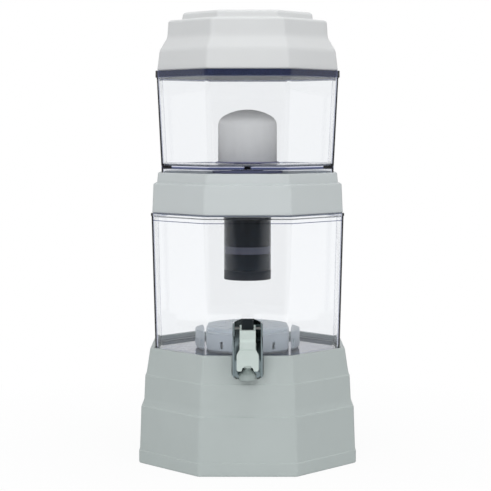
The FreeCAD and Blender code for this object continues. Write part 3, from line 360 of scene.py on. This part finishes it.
def closed_faces(rows, columns, wrap):
    """Quads of a grid whose columns close into a ring and whose rows may close too."""
    count = rows if wrap else rows - 1
    i, j = np.meshgrid(np.arange(count), np.arange(columns), indexing="ij")
    i2, j2 = (i + 1) % rows, (j + 1) % columns
    quads = np.stack([i * columns + j, i * columns + j2, i2 * columns + j2, i2 * columns + j], -1)
    return quads.reshape(-1, 4)


def outward(points, faces):
    """Flips the faces if the volume that they close comes out negative."""
    a = points[faces[:, 0]]
    volume = 0.0
    for k in range(1, faces.shape[1] - 1):
        volume += np.einsum("ij,ij->", a, np.cross(points[faces[:, k]], points[faces[:, k + 1]]))
    return faces if volume > 0 else faces[:, ::-1]


def add_piece(name, points, faces, slot, body, nodes=()):
    """Puts a surface given in millimetres into the scene as one finished piece."""
    mesh = bpy.data.meshes.new(name)
    mesh.from_pydata((np.asarray(points) * MM).tolist(), [], [list(map(int, f)) for f in faces])
    mesh.validate()
    piece = bpy.data.objects.new(name, mesh)
    bpy.context.scene.collection.objects.link(piece)
    mesh.polygons.foreach_set("use_smooth", np.ones(len(mesh.polygons), bool))
    finish_piece(piece, slot, body, nodes)
    return piece


def finish_piece(piece, slot, body, nodes=()):
    """Gives a piece its finish, its body and the nodes that it stands for."""
    piece.data.materials.clear()
    piece.data.materials.append(materials[slot])
    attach(piece, body)
    if nodes:
        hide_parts(*nodes)


def eased(corners, closed=False, steps=4):
    """A profile whose corners are eased.

    corners are (reach, height, radius). Each corner becomes a curve that starts radius before
    it, ends radius after it and bends as a parabola between the two, with the corner as the
    point that pulls it. A point up to HOLD before and after each curve keeps the flats flat.
    """
    corners = np.asarray(corners, float)
    spot = corners[:, :2]
    before = np.roll(spot, 1, axis=0) - spot
    after = np.roll(spot, -1, axis=0) - spot
    long_before = np.linalg.norm(before, axis=1, keepdims=True)
    long_after = np.linalg.norm(after, axis=1, keepdims=True)
    reach = np.minimum(corners[:, 2:3], CURVE_SHARE * np.minimum(long_before, long_after))
    if not closed:
        reach[[0, -1]] = 0
    hold_before = np.minimum(HOLD, HOLD_SHARE * (0.5 * long_before - reach))
    hold_after = np.minimum(HOLD, HOLD_SHARE * (0.5 * long_after - reach))
    if not closed:
        hold_before[0] = hold_after[-1] = 0
    before, after = before / long_before, after / long_after
    start, end = spot + before * reach, spot + after * reach
    t = np.linspace(0, 1, steps + 1)[None, :, None]
    curve = (1 - t) ** 2 * start[:, None] + 2 * t * (1 - t) * spot[:, None] + t ** 2 * end[:, None]
    curve = np.concatenate([(start + before * hold_before)[:, None], curve,
                            (end + after * hold_after)[:, None]], axis=1)
    rows = curve.reshape(-1, 2)
    keep = np.r_[True, np.linalg.norm(np.diff(rows, axis=0), axis=1) > TINY]
    return rows[keep]


def octagon_rows(profile, corner, steps=5, round_below=None):
    """Rows of points round the object for a profile of (half width, height).

    An octagon's corners are arcs of 45 degrees about centres that lie radius inside both
    flats, and the flats are the straight runs between the arcs, with a point up to HOLD from
    each arc. Its diagonal flats lie EASE further out than the main ones. Rows narrower than
    round_below are circles instead, with their points at the same bearings.
    """
    half = profile[:, 0][:, None, None]
    radius = np.minimum(corner, CORNER_SHARE * half)
    near = half - radius
    far = (near + np.minimum(EASE, NARROW_SHARE * half)) * math.sqrt(2) - near
    near_x, far_x = np.array([[1, 1, 0, 0, -1, -1, 0, 0], [0, 0, 1, -1, 0, 0, -1, 1]])[:, None, :, None]
    near_y, far_y = np.array([[0, 0, 1, 1, 0, 0, -1, -1], [-1, 1, 0, 0, 1, -1, 0, 0]])[:, None, :, None]
    arc = np.concatenate([[0], np.linspace(0, 45, steps + 1), [45]])
    turn = np.radians(np.arange(8)[None, :, None] * 45 - 45 + arc)
    slide = np.minimum(HOLD, NARROW_SHARE * half) * np.sign(np.arange(steps + 3) - (steps + 2) / 2)
    slide[..., 1:-1] = 0
    x = near[..., None] * near_x + far[..., None] * far_x
    y = near[..., None] * near_y + far[..., None] * far_y
    x = x[:, 0] + radius * np.cos(turn) - slide * np.sin(turn)
    y = y[:, 0] + radius * np.sin(turn) + slide * np.cos(turn)
    x, y = x.reshape(len(profile), -1), y.reshape(len(profile), -1)
    if round_below is not None:
        bearing = np.arctan2(y, x)
        small = (profile[:, 0] < round_below)[:, None]
        x = np.where(small, profile[:, :1] * np.cos(bearing), x)
        y = np.where(small, profile[:, :1] * np.sin(bearing), y)
    z = np.broadcast_to(profile[:, 1:2], x.shape)
    return np.stack([x, y, z], -1)


def round_rows(profile, columns=96):
    """Rows of points round an upright axis for a profile of (radius, height)."""
    turn = np.linspace(0, 2 * math.pi, columns, endpoint=False)
    radius = profile[:, :1]
    return np.stack([radius * np.cos(turn), radius * np.sin(turn),
                     np.broadcast_to(profile[:, 1:2], (len(profile), columns))], -1)


def coil_rows(width, wire, low, high, turns, steps=24, sides=10):
    """Rows of a round wire wound round an upright axis.

    The wire's middle climbs evenly from low to high while it turns; each row is a circle across
    it, spanned by the outward and the upward direction, and the end rows shrink to the middle.
    """
    climb = np.linspace(0, 1, turns * steps + 1)[:, None]
    turn = 2 * math.pi * turns * climb
    out = np.hstack([np.cos(turn), np.sin(turn), np.zeros_like(turn)])
    up = np.array([0.0, 0.0, 1.0])
    middle = (width / 2 * out + (low + (high - low) * climb) * up)[:, None]
    across = np.linspace(0, 2 * math.pi, sides, endpoint=False)[None, :, None]
    rows = middle + wire / 2 * (np.cos(across) * out[:, None] + np.sin(across) * up)
    ends = np.repeat(middle[[0, -1]], sides, axis=1)
    return np.concatenate([ends[:1], rows, ends[1:]])


def skin(name, rows, slot, body, nodes=(), wrap=False, centre=(0, 0)):
    """A closed skin through rows of points; rows that shrink to the axis end in a pole."""
    rows = rows + np.array([centre[0], centre[1], 0])
    count, columns = rows.shape[:2]
    spread = np.linalg.norm(rows - rows.mean(axis=1, keepdims=True), axis=-1).max(axis=1)
    first, last = spread[0] < TINY, spread[-1] < TINY
    inner = rows[int(first):count - int(last)]
    points = inner.reshape(-1, 3)
    faces = closed_faces(len(inner), columns, wrap).tolist()
    j = np.arange(columns)
    following = (j + 1) % columns
    if first:
        points = np.vstack([points, rows[0, :1]])
        faces += np.stack([following, j, np.full(columns, len(points) - 1)], -1).tolist()
    if last:
        points = np.vstack([points, rows[-1, :1]])
        base = (len(inner) - 1) * columns
        faces += np.stack([base + j, base + following, np.full(columns, len(points) - 1)], -1).tolist()
    quads = np.array([f if len(f) == 4 else [*f, f[2]] for f in faces])
    if outward(points, quads) is not quads:
        faces = [f[::-1] for f in faces]
    return add_piece(name, points, faces, slot, body, nodes)


def round_edges(piece, width_mm, angle=30, segments=3):
    """Eases the edges that turn by more than an angle in degrees."""
    bevel = piece.modifiers.new("edges", "BEVEL")
    bevel.width = width_mm * MM
    bevel.segments = segments
    bevel.angle_limit = math.radians(angle)
    bevel.harden_normals = True


def eased_copy(node, width_mm, slot, body, name, segments=3):
    """A copy of a CAD node with its doubles merged and its edges rounded."""
    mesh = frame["nodes"][node].data.copy()
    soup = bmesh.new()
    soup.from_mesh(mesh)
    bmesh.ops.remove_doubles(soup, verts=soup.verts, dist=MERGE)
    bmesh.ops.dissolve_limit(soup, angle_limit=math.radians(FLAT_ANGLE), verts=soup.verts,
                             edges=soup.edges)
    soup.to_mesh(mesh)
    soup.free()
    mesh.name = name
    piece = bpy.data.objects.new(name, mesh)
    bpy.context.scene.collection.objects.link(piece)
    mesh.polygons.foreach_set("use_smooth", np.ones(len(mesh.polygons), bool))
    round_edges(piece, width_mm, COPY_ANGLE, segments)
    finish_piece(piece, slot, body, (node,))


def cutter(name, outline, near, far):
    """A plain prism for a cut: an outline in X and Z carried along Y from near to far."""
    outline = np.asarray(outline, float)
    count = len(outline)
    points = np.zeros((2, count, 3))
    points[..., 0] = outline[:, 0]
    points[..., 1] = [[near], [far]]
    points[..., 2] = outline[:, 1]
    j = np.arange(count)
    sides = np.stack([j, (j + 1) % count, (j + 1) % count + count, j + count], -1)
    mesh = bpy.data.meshes.new(name)
    faces = [list(map(int, f)) for f in sides] + [list(range(count))[::-1], list(range(count, 2 * count))]
    mesh.from_pydata((points.reshape(-1, 3) * MM).tolist(), [], faces)
    soup = bmesh.new()
    soup.from_mesh(mesh)
    bmesh.ops.recalc_face_normals(soup, faces=soup.faces)
    soup.to_mesh(mesh)
    soup.free()
    tool = bpy.data.objects.new(name, mesh)
    bpy.context.scene.collection.objects.link(tool)
    return tool


def apply_cuts(piece, tools, operations):
    """Cuts or joins prisms into a piece for good and removes them."""
    for tool, operation in zip(tools, operations):
        change = piece.modifiers.new(tool.name, "BOOLEAN")
        change.operation = operation
        change.object = tool
        change.solver = "EXACT"
    graph = bpy.context.evaluated_depsgraph_get()
    result = bpy.data.meshes.new_from_object(piece.evaluated_get(graph))
    piece.modifiers.clear()
    piece.data = result
    for tool in tools:
        bpy.data.objects.remove(tool)


def disc_outline(width, height, steps=48):
    """A circle about the middle plane at a height, as an outline in X and Z."""
    turn = np.linspace(0, 2 * math.pi, steps, endpoint=False)
    return np.stack([width / 2 * np.cos(turn), height + width / 2 * np.sin(turn)], -1)


class FilterLook(bpy.types.PropertyGroup):
    """Sizes and colours that a user would change."""

    stand_hex: StringProperty(name="Stand colour", description="sRGB hex of the stand",
                              default="#b2bab8")
    ring_hex: StringProperty(name="Ring colour", description="sRGB hex of the ring", default="#c8cecd")
    lid_hex: StringProperty(name="Lid colour", description="sRGB hex of the lid", default="#d4d5d5")
    # The colour of the painted shade at the tanks' lips, floors and side corners.
    edge_shade_hex: StringProperty(name="Edge shade colour", description="sRGB hex of the tanks' thick edges",
                            default="#5d6585")
    tint_depth: FloatProperty(name="Tint depth", default=2.5, min=0.0,
                              description="How fast the clear wall tints light, per metre")
    corner_mm: FloatProperty(name="Corner radius", description="Radius of the shells' upright corners, mm",
                             default=6.0, min=0.5)
    stones: IntProperty(name="Stones", description="Pebbles in the mineral cassette", default=420, min=0)
    camera_at: FloatVectorProperty(name="Camera", description="Camera position", subtype="TRANSLATION",
                                   unit="LENGTH", default=(-0.0025, -1.82, 0.407))
    camera_pitch: FloatProperty(name="Pitch", description="How far the camera looks down", subtype="ANGLE",
                                default=math.radians(4.524))
    camera_lens: FloatProperty(name="Lens", description="Focal length in mm", default=106.7)


class WATER_OT_stand(bpy.types.Operator):
    """Hollow stepped stand with its niche and notch for the tap"""

    bl_idname = "water.stand"
    bl_label = "Stand"

    def execute(self, context):
        look = context.scene.water_look
        profile = eased([
            (0, 128, 0), (118.2, 128, 1.5), (120, 115.5, 2), (122.3, 108, 2), (123.8, 78, 2),
            (127.3, 70, 2), (129.25, 16.6, 1), (129.25, 0, 0.6), (132.6, 0, 0.8), (133.25, 1.8, 0.8),
            (133.25, 15.4, 0.4), (132.2, 16.4, 0.4), (130.25, 70, 0.7), (128.5, 71.4, 0.9),
            (126.75, 78, 3), (125.25, 108, 0.7), (124.2, 109.2, 0.8), (123, 115.5, 2.4),
            (119.3, 140.6, 1.2), (118.6, 141.5, 0.8),
            (114.2, 141.5, 0.8), (113.75, 140.6, 0.5), (113.75, 131, 0.8), (0, 131, 0)])
        rows = octagon_rows(profile, look.corner_mm)
        piece = skin("stand", rows, "stand_plastic", "stand", ("base_shell",))
        # A thicker wall behind the tap, the niche cut into it and the notch in the rim above.
        backing = cutter("backing", [(-21.85, 112), (21.85, 112), (21.85, 129), (-21.85, 129)], -115, -121)
        niche = cutter("niche", [(-18.85, 150), (-18.85, 120), (-13.85, 115), (13.85, 115), (18.85, 120),
                                 (18.85, 150)], -118, -140)
        notch = cutter("notch", [(-16.5, 133), (16.5, 133), (16.5, 150), (-16.5, 150)], -108, -125)
        apply_cuts(piece, [backing, niche, notch], ["UNION", "DIFFERENCE", "DIFFERENCE"])
        round_edges(piece, 0.7)
        return {"FINISHED"}


class WATER_OT_ring(bpy.types.Operator):
    """Ring between the tanks"""

    bl_idname = "water.ring"
    bl_label = "Ring"

    def execute(self, context):
        look = context.scene.water_look
        profile = eased([
            (32.9, 349.5, 0.4), (32.9, 346.5, 0.4), (107.45, 346.5, 1), (107.45, 340.5, 1),
            (110.7, 339.2, 1), (110.7, 305.2, 0.5), (113.2, 305.2, 0.6), (113.2, 307, 0.4),
            (115.4, 307, 0.6), (116, 308, 1), (114.5, 342, 1.2), (113.4, 342.9, 0.8),
            (110.25, 343.1, 1.2), (109.05, 355.2, 1), (108.2, 356, 0.6), (105.6, 356, 0.5),
            (105.2, 355.4, 0.5), (105.2, 349.5, 0.8)], closed=True)
        rows = octagon_rows(profile, look.corner_mm, round_below=60)
        skin("ring", rows, "ring_plastic", "ring", ("middle_ring",), wrap=True)
        return {"FINISHED"}


class WATER_OT_lid(bpy.types.Operator):
    """Stepped lid"""

    bl_idname = "water.lid"
    bl_label = "Lid"

    def execute(self, context):
        look = context.scene.water_look
        profile = eased([
            (0, 547.5, 0), (76, 547.5, 1), (76.9, 537.5, 1), (90.3, 536.2, 1.5), (94.7, 519, 2),
            (104, 503, 2), (104.2, 481, 2), (104.2, 471.8, 0.5), (106.7, 471.8, 0.5), (106.7, 479.2, 0.3),
            (108.6, 479.2, 0.5), (109.25, 480.2, 0.8), (106.5, 503, 3.2), (97.25, 519, 3.4),
            (96, 537.6, 1.8), (94.4, 539.6, 1.4), (79.5, 540.8, 1.6), (78.6, 547.4, 1.8),
            (75.8, 550, 2.2), (0, 550, 0)])
        rows = octagon_rows(profile, look.corner_mm)
        skin("lid", rows, "lid_plastic", "lid", ("lid_shell",))
        return {"FINISHED"}


class WATER_OT_tanks(bpy.types.Operator):
    """Two clear tanks with their lips"""

    bl_idname = "water.tanks"
    bl_label = "Clear tanks"

    def execute(self, context):
        look = context.scene.water_look
        lower = eased([
            (0, 131.2, 0), (111.2, 131.2, 1.6), (113.05, 133.4, 1.6), (117, 302.6, 0.4),
            (117.75, 303.4, 0.4), (117.75, 306.8, 0.5), (113.8, 306.8, 0.5), (113.8, 303.4, 1),
            (109.85, 137, 2.2), (107.8, 135, 2), (0, 135, 0)])
        piece = skin("lower_tank_wall", octagon_rows(lower, look.corner_mm), "tank_clear", "tank_lower",
                     ("lower_tank",))
        # The flat that the tap's washers seal on, and the hole for its stem.
        boss = cutter("boss", disc_outline(30, TAP_HEIGHT), -109.4, -114.18)
        hole = cutter("hole", disc_outline(14.4, TAP_HEIGHT), -107, -117)
        apply_cuts(piece, [boss, hole], ["UNION", "DIFFERENCE"])
        round_edges(piece, 0.3, angle=40, segments=2)
        upper = eased([
            (6.5, 364.3, 0.3), (6.5, 361, 0.3), (101.75, 361, 1), (101.25, 349.7, 0.4),
            (104.45, 349.7, 0.6),
            (110.15, 470.2, 0.5), (111.6, 471, 0.5), (111.6, 479, 0.6), (107.3, 479, 0.6), (107.3, 471, 1),
            (101.85, 366.3, 2), (99.8, 364.3, 2)], closed=True)
        rows = octagon_rows(upper, look.corner_mm, round_below=40)
        skin("upper_tank_wall", rows, "tank_clear", "tank_upper", ("upper_tank",), wrap=True)
        return {"FINISHED"}


class WATER_OT_dome(bpy.types.Operator):
    """Ceramic dome on its plate"""

    bl_idname = "water.dome"
    bl_label = "Ceramic dome"

    def execute(self, context):
        outer = self.outline(half=36.65, foot=368.1, shoulder=412.4, rise=20.2, corner=14.0)
        skin("dome", round_rows(outer), "ceramic", "tank_upper", ("ceramic_dome",))
        plate = eased([(3, 333.8, 0), (5.4, 333.8, 0), (6, 334.4, 0), (6, 365.8, 0), (40.5, 365.8, 0.5),
                       (40.5, 366.9, 0.5), (38.5, 368.1, 0.6), (3, 368.1, 0)], closed=True)
        skin("dome_plate_disc", round_rows(plate), "plate_plastic", "tank_upper", ("dome_plate",),
             wrap=True)
        return {"FINISHED"}

    def outline(self, half, foot, shoulder, rise, corner, bevel=0.6, steps=12):
        """The dome's outline from the foot's middle to the crown's.

        Above the shoulder an arc of the corner's radius turns inwards and meets the crown, a wide
        arc about a point on the axis, without a kink. The crown's radius is the square of half
        less corner, plus rise squared, less corner squared, over twice rise less corner.
        """
        crown = ((half - corner) ** 2 + rise ** 2 - corner ** 2) / (2 * (rise - corner))
        meet = math.atan2(crown - rise, half - corner)
        tight = np.linspace(0, meet, steps)
        flat = np.linspace(meet, math.pi / 2, steps)[1:]
        outer = np.vstack([
            [[0, foot], [half - bevel, foot], [half, foot + bevel]],
            np.stack([half - corner + corner * np.cos(tight), shoulder + corner * np.sin(tight)], -1),
            np.stack([crown * np.cos(flat), shoulder + rise - crown * (1 - np.sin(flat))], -1)])
        outer[-1, 0] = 0
        return outer


class WATER_OT_cartridge(bpy.types.Operator):
    """Filter cartridge that hangs from the upper tank's floor"""

    bl_idname = "water.cartridge"
    bl_label = "Cartridge"

    def execute(self, context):
        flange = eased([(32.7, 354.4, 0.3), (43.8, 354.4, 0.7), (43.8, 359.5, 0.7), (6.3, 359.5, 0.3),
                        (6.3, 357.6, 0.3), (32.7, 357.6, 0.3)], closed=True)
        skin("cartridge_flange", round_rows(flange), "plate_plastic", "cartridge", ("cartridge_cap",),
             wrap=True)
        collar = eased([(28.3, 298.4, 0.4), (30.7, 298.4, 0.6), (30.7, 354.4, 0.3), (32.5, 354.4, 0.2),
                        (32.5, 357.4, 0.3), (6.3, 357.4, 0.3), (6.3, 339.6, 0.3), (10, 339.6, 0.6),
                        (10, 354.4, 0.6), (28.3, 354.4, 0.6)], closed=True)
        skin("cartridge_collar", round_rows(collar), "cartridge_dark", "cartridge", wrap=True)
        wall = eased([(25.5, 224.7, 0), (28.1, 224.7, 0.4), (28.1, 233.0, 0), (29.4, 233.0, 0.5),
                      (29.4, 298.2, 0.6), (28.1, 298.2, 0), (28.1, 338.2, 0.4), (25.5, 338.2, 0)],
                     closed=True)
        skin("cartridge_tube", round_rows(wall), "cartridge_tint", "cartridge", ("cartridge_housing",),
             wrap=True)
        eased_copy("cartridge_grid", 0.5, "cartridge_dark", "cartridge", "cartridge_foot")
        return {"FINISHED"}


class WATER_OT_cassette(bpy.types.Operator):
    """Mineral cassette with its stones"""

    bl_idname = "water.cassette"
    bl_label = "Mineral cassette"

    def execute(self, context):
        eased_copy("cassette_dish", 0.5, "cassette_clear", "cassette", "cassette_bowl")
        eased_copy("cassette_lid", 0.5, "cassette_clear", "cassette_cover", "cassette_top")
        self.add_stones(context.scene.water_look.stones)
        return {"FINISHED"}

    def add_stones(self, count):
        """Pebbles: a 12-point ball, stretched and roughened, repeated at seeded places in the dish."""
        draw = np.random.default_rng(SEED)
        ball = bmesh.new()
        bmesh.ops.create_icosphere(ball, subdivisions=1, radius=1)
        unit = np.array([v.co[:] for v in ball.verts])
        tris = np.array([[v.index for v in f.verts] for f in ball.faces])
        ball.free()
        size = draw.uniform(*STONE_RADII, (count, 1, 1)) * draw.uniform(*STONE_STRETCH, (count, 1, 3))
        reach = BED_RADIUS * np.sqrt(draw.uniform(0, 1, count))
        turn = draw.uniform(0, 2 * math.pi, count)
        height = draw.uniform(*BED_HEIGHTS, count)
        centre = np.stack([reach * np.cos(turn), reach * np.sin(turn), height], -1)[:, None]
        rough = 1 + STONE_ROUGHNESS * draw.uniform(-1, 1, (count, len(unit), 1))
        points = (centre + unit * size * rough).reshape(-1, 3)
        faces = (tris[None] + (np.arange(count) * len(unit))[:, None, None]).reshape(-1, 3)
        add_piece("mineral_stones", points, faces, "minerals", "cassette", ("mineral_bed",))


class WATER_OT_tap(bpy.types.Operator):
    """Tap: channel, lever, pad, valve and nozzle"""

    bl_idname = "water.tap"
    bl_label = "Tap"

    def execute(self, context):
        eased_copy("tap_shroud", 0.5, "shroud_smoke", "tank_lower", "tap_channel")
        eased_copy("tap_lever", 0.7, "tap_white", "lever", "lever_arm", 4)
        eased_copy("lever_pad", 0.3, "pad_black", "lever", "push_pad")
        eased_copy("tap_body", 0.4, "tap_white", "tank_lower", "valve_chamber")
        eased_copy("tap_bonnet", 0.3, "tap_grey", "tank_lower", "valve_cap")
        eased_copy("tap_nut", 0.6, "tap_white", "tank_lower", "clamp_nut")
        nozzle = eased([(2.5, 133.7, 0.2), (3.6, 133.7, 0.2), (3.6, 131.2, 0.1), (4.1, 131.2, 0.2),
                        (4.1, 128.2, 1), (9.5, 123.6, 1), (10.5, 121.6, 0.6), (10.5, 116.2, 0.5),
                        (8.9, 116.2, 0.3), (8.9, 121.6, 0.8), (2.5, 126.7, 1)], closed=True)
        skin("nozzle", round_rows(nozzle, 64), "tap_grey", "tank_lower", ("tap_spout",), wrap=True,
             centre=(0, VALVE_AXIS))
        coil = coil_rows(width=9, wire=1, low=141.5, high=154.9, turns=4)
        spring = skin("closing_spring", coil, "steel", "tank_lower", ("valve_spring",),
                      centre=(0, VALVE_AXIS))
        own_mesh(spring)
        return {"FINISHED"}


class WATER_OT_inner(bpy.types.Operator):
    """Finishes of the inner pieces that keep their CAD shape"""

    bl_idname = "water.inner"
    bl_label = "Inner pieces"

    def execute(self, context):
        slots = {entry["node"]: entry["material_slot"] for entry in frame["record"]["subparts"]}
        for node, item in frame["nodes"].items():
            item.data.materials.clear()
            item.data.materials.append(materials[slots[node]])
        return {"FINISHED"}


class WATER_OT_stage(bpy.types.Operator):
    """Pale floor, soft light and the camera"""

    bl_idname = "water.stage"
    bl_label = "Stage"

    def execute(self, context):
        scene = context.scene
        look = scene.water_look
        self.floor()
        for lamp in LAMPS:
            self.light(*lamp)
        self.world()
        data = bpy.data.cameras.new("camera")
        data.lens = look.camera_lens
        camera = bpy.data.objects.new("camera", data)
        scene.collection.objects.link(camera)
        camera.location = look.camera_at
        camera.rotation_euler = (math.pi / 2 - look.camera_pitch, 0, 0)
        scene.camera = camera
        scene.view_settings.view_transform = "Standard"
        return {"FINISHED"}

    def floor(self):
        """A wide pale table top that reads white to the camera and keeps a soft shadow.

        It ends before the camera, so that the clear walls don't mirror it.
        """
        mesh = bpy.data.meshes.new("floor")
        mesh.from_pydata([(-FLOOR_HALF, FLOOR_NEAR, 0), (FLOOR_HALF, FLOOR_NEAR, 0),
                          (FLOOR_HALF, FLOOR_HALF, 0), (-FLOOR_HALF, FLOOR_HALF, 0)],
                         [], [(0, 1, 2, 3)])
        floor = bpy.data.objects.new("floor", mesh)
        bpy.context.scene.collection.objects.link(floor)
        material, tree = new_material("white_laminate")
        cover = add_node(tree, "ShaderNodeBsdfDiffuse", {"Color": linear("#f2f2f2")})
        glow = add_node(tree, "ShaderNodeEmission", {"Color": (1, 1, 1, 1), "Strength": 1.0})
        path = add_node(tree, "ShaderNodeLightPath")
        seen = add_node(tree, "ShaderNodeMath", {"operation": "MAXIMUM"},
                        {0: path.outputs["Is Camera Ray"], 1: path.outputs["Is Transmission Ray"]})
        place = add_node(tree, "ShaderNodeTexCoord")
        reach = add_node(tree, "ShaderNodeVectorMath", {"operation": "LENGTH"},
                         {0: place.outputs["Object"]})
        far = add_node(tree, "ShaderNodeMapRange", {"From Min": 0.15, "From Max": 0.6, "To Min": 0.93,
                                                    "To Max": 1.0}, {"Value": reach.outputs["Value"]})
        share = add_node(tree, "ShaderNodeMath", {"operation": "MULTIPLY"},
                         {0: seen.outputs[0], 1: far.outputs[0]})
        mixed = add_node(tree, "ShaderNodeMixShader", links={0: share.outputs[0], 1: cover.outputs[0],
                                                             2: glow.outputs[0]})
        surface(tree, mixed.outputs[0])
        mesh.materials.append(material)

    def light(self, name, place, height, size, watts):
        """One square softbox turned to a height on the object's axis.

        The clear walls don't mirror it.
        """
        data = bpy.data.lights.new(name, "AREA")
        data.size = size
        data.energy = watts
        lamp = bpy.data.objects.new(name, data)
        bpy.context.scene.collection.objects.link(lamp)
        lamp.location = place
        lamp.visible_glossy = lamp.visible_transmission = False
        toward = np.array([0, 0, height]) - np.array(place)
        flat = math.hypot(toward[0], toward[1])
        lamp.rotation_euler = (math.pi / 2 + math.atan2(toward[2], flat), 0,
                               math.atan2(toward[1], toward[0]) - math.pi / 2)

    def world(self):
        """White to the camera and through the clear walls, and an even grey as a light.

        A mirrored ray sees white behind the object and a dark studio in front of it, towards -Y,
        unless it met a matt surface first.
        """
        world = bpy.data.worlds.new("studio")
        bpy.context.scene.world = world
        world.use_nodes = True
        tree = world.node_tree
        tree.nodes.clear()
        path = add_node(tree, "ShaderNodeLightPath")
        place = add_node(tree, "ShaderNodeTexCoord")
        toward = add_node(tree, "ShaderNodeSeparateXYZ", links={0: place.outputs["Generated"]})
        front = add_node(tree, "ShaderNodeMapRange", {"From Min": -0.5, "From Max": 0.2, "To Min": 0.1,
                                                      "To Max": 1.0}, {"Value": toward.outputs["Y"]})
        bent = add_node(tree, "ShaderNodeMath", {"operation": "MAXIMUM"},
                        {0: path.outputs["Is Glossy Ray"], 1: path.outputs["Is Transmission Ray"]})
        seen = add_node(tree, "ShaderNodeMath", {"operation": "MAXIMUM"},
                        {0: path.outputs["Is Camera Ray"], 1: bent.outputs[0]})
        soft = add_node(tree, "ShaderNodeMath", {"operation": "GREATER_THAN", 1: 0.5},
                        {0: path.outputs["Diffuse Depth"]})
        unglossed = add_node(tree, "ShaderNodeMath", {"operation": "LESS_THAN", 1: 0.5},
                             {0: path.outputs["Glossy Depth"]})
        either = add_node(tree, "ShaderNodeMath", {"operation": "MAXIMUM"},
                          {0: soft.outputs[0], 1: unglossed.outputs[0]})
        level = add_node(tree, "ShaderNodeMath", {"operation": "MAXIMUM"},
                         {0: either.outputs[0], 1: front.outputs[0]})
        even = add_node(tree, "ShaderNodeBackground",
                        {"Color": (0.96, 0.98, 1.0, 1), "Strength": WORLD_LEVEL})
        bright = add_node(tree, "ShaderNodeBackground", {"Color": (1, 1, 1, 1)},
                          {"Strength": level.outputs[0]})
        mixed = add_node(tree, "ShaderNodeMixShader", links={0: seen.outputs[0], 1: even.outputs[0],
                                                             2: bright.outputs[0]})
        add_node(tree, "ShaderNodeOutputWorld", links={"Surface": mixed.outputs[0]})


OPERATORS = (WATER_OT_inner, WATER_OT_stand, WATER_OT_ring, WATER_OT_lid, WATER_OT_tanks, WATER_OT_dome,
             WATER_OT_cartridge, WATER_OT_cassette, WATER_OT_tap, WATER_OT_stage)


class WATER_PT_panel(bpy.types.Panel):
    """Lists the pieces and the sizes and colours of the filter"""

    bl_idname = "WATER_PT_panel"
    bl_label = "Water Filter"
    bl_space_type = "VIEW_3D"
    bl_region_type = "UI"
    bl_category = "Water Filter"

    def draw(self, context):
        for name in FilterLook.__annotations__:
            self.layout.prop(context.scene.water_look, name)
        for operator in OPERATORS:
            self.layout.operator(operator.bl_idname)


def register():
    """Makes the properties, operators and panel known."""
    for item in (FilterLook, *OPERATORS, WATER_PT_panel):
        bpy.utils.register_class(item)
    bpy.types.Scene.water_look = bpy.props.PointerProperty(type=FilterLook)


def unregister():
    """Takes them away again."""
    del bpy.types.Scene.water_look
    for item in reversed((FilterLook, *OPERATORS, WATER_PT_panel)):
        bpy.utils.unregister_class(item)


def main():
    """Builds every piece, then the stage."""
    register()
    materials.update(build_materials(bpy.context.scene.water_look))
    for operator in OPERATORS:
        area, name = operator.bl_idname.split(".")
        result = getattr(getattr(bpy.ops, area), name)()
        if "FINISHED" not in result:
            raise RuntimeError(operator.bl_label + " was not made")


if __name__ == "__main__":
    main()
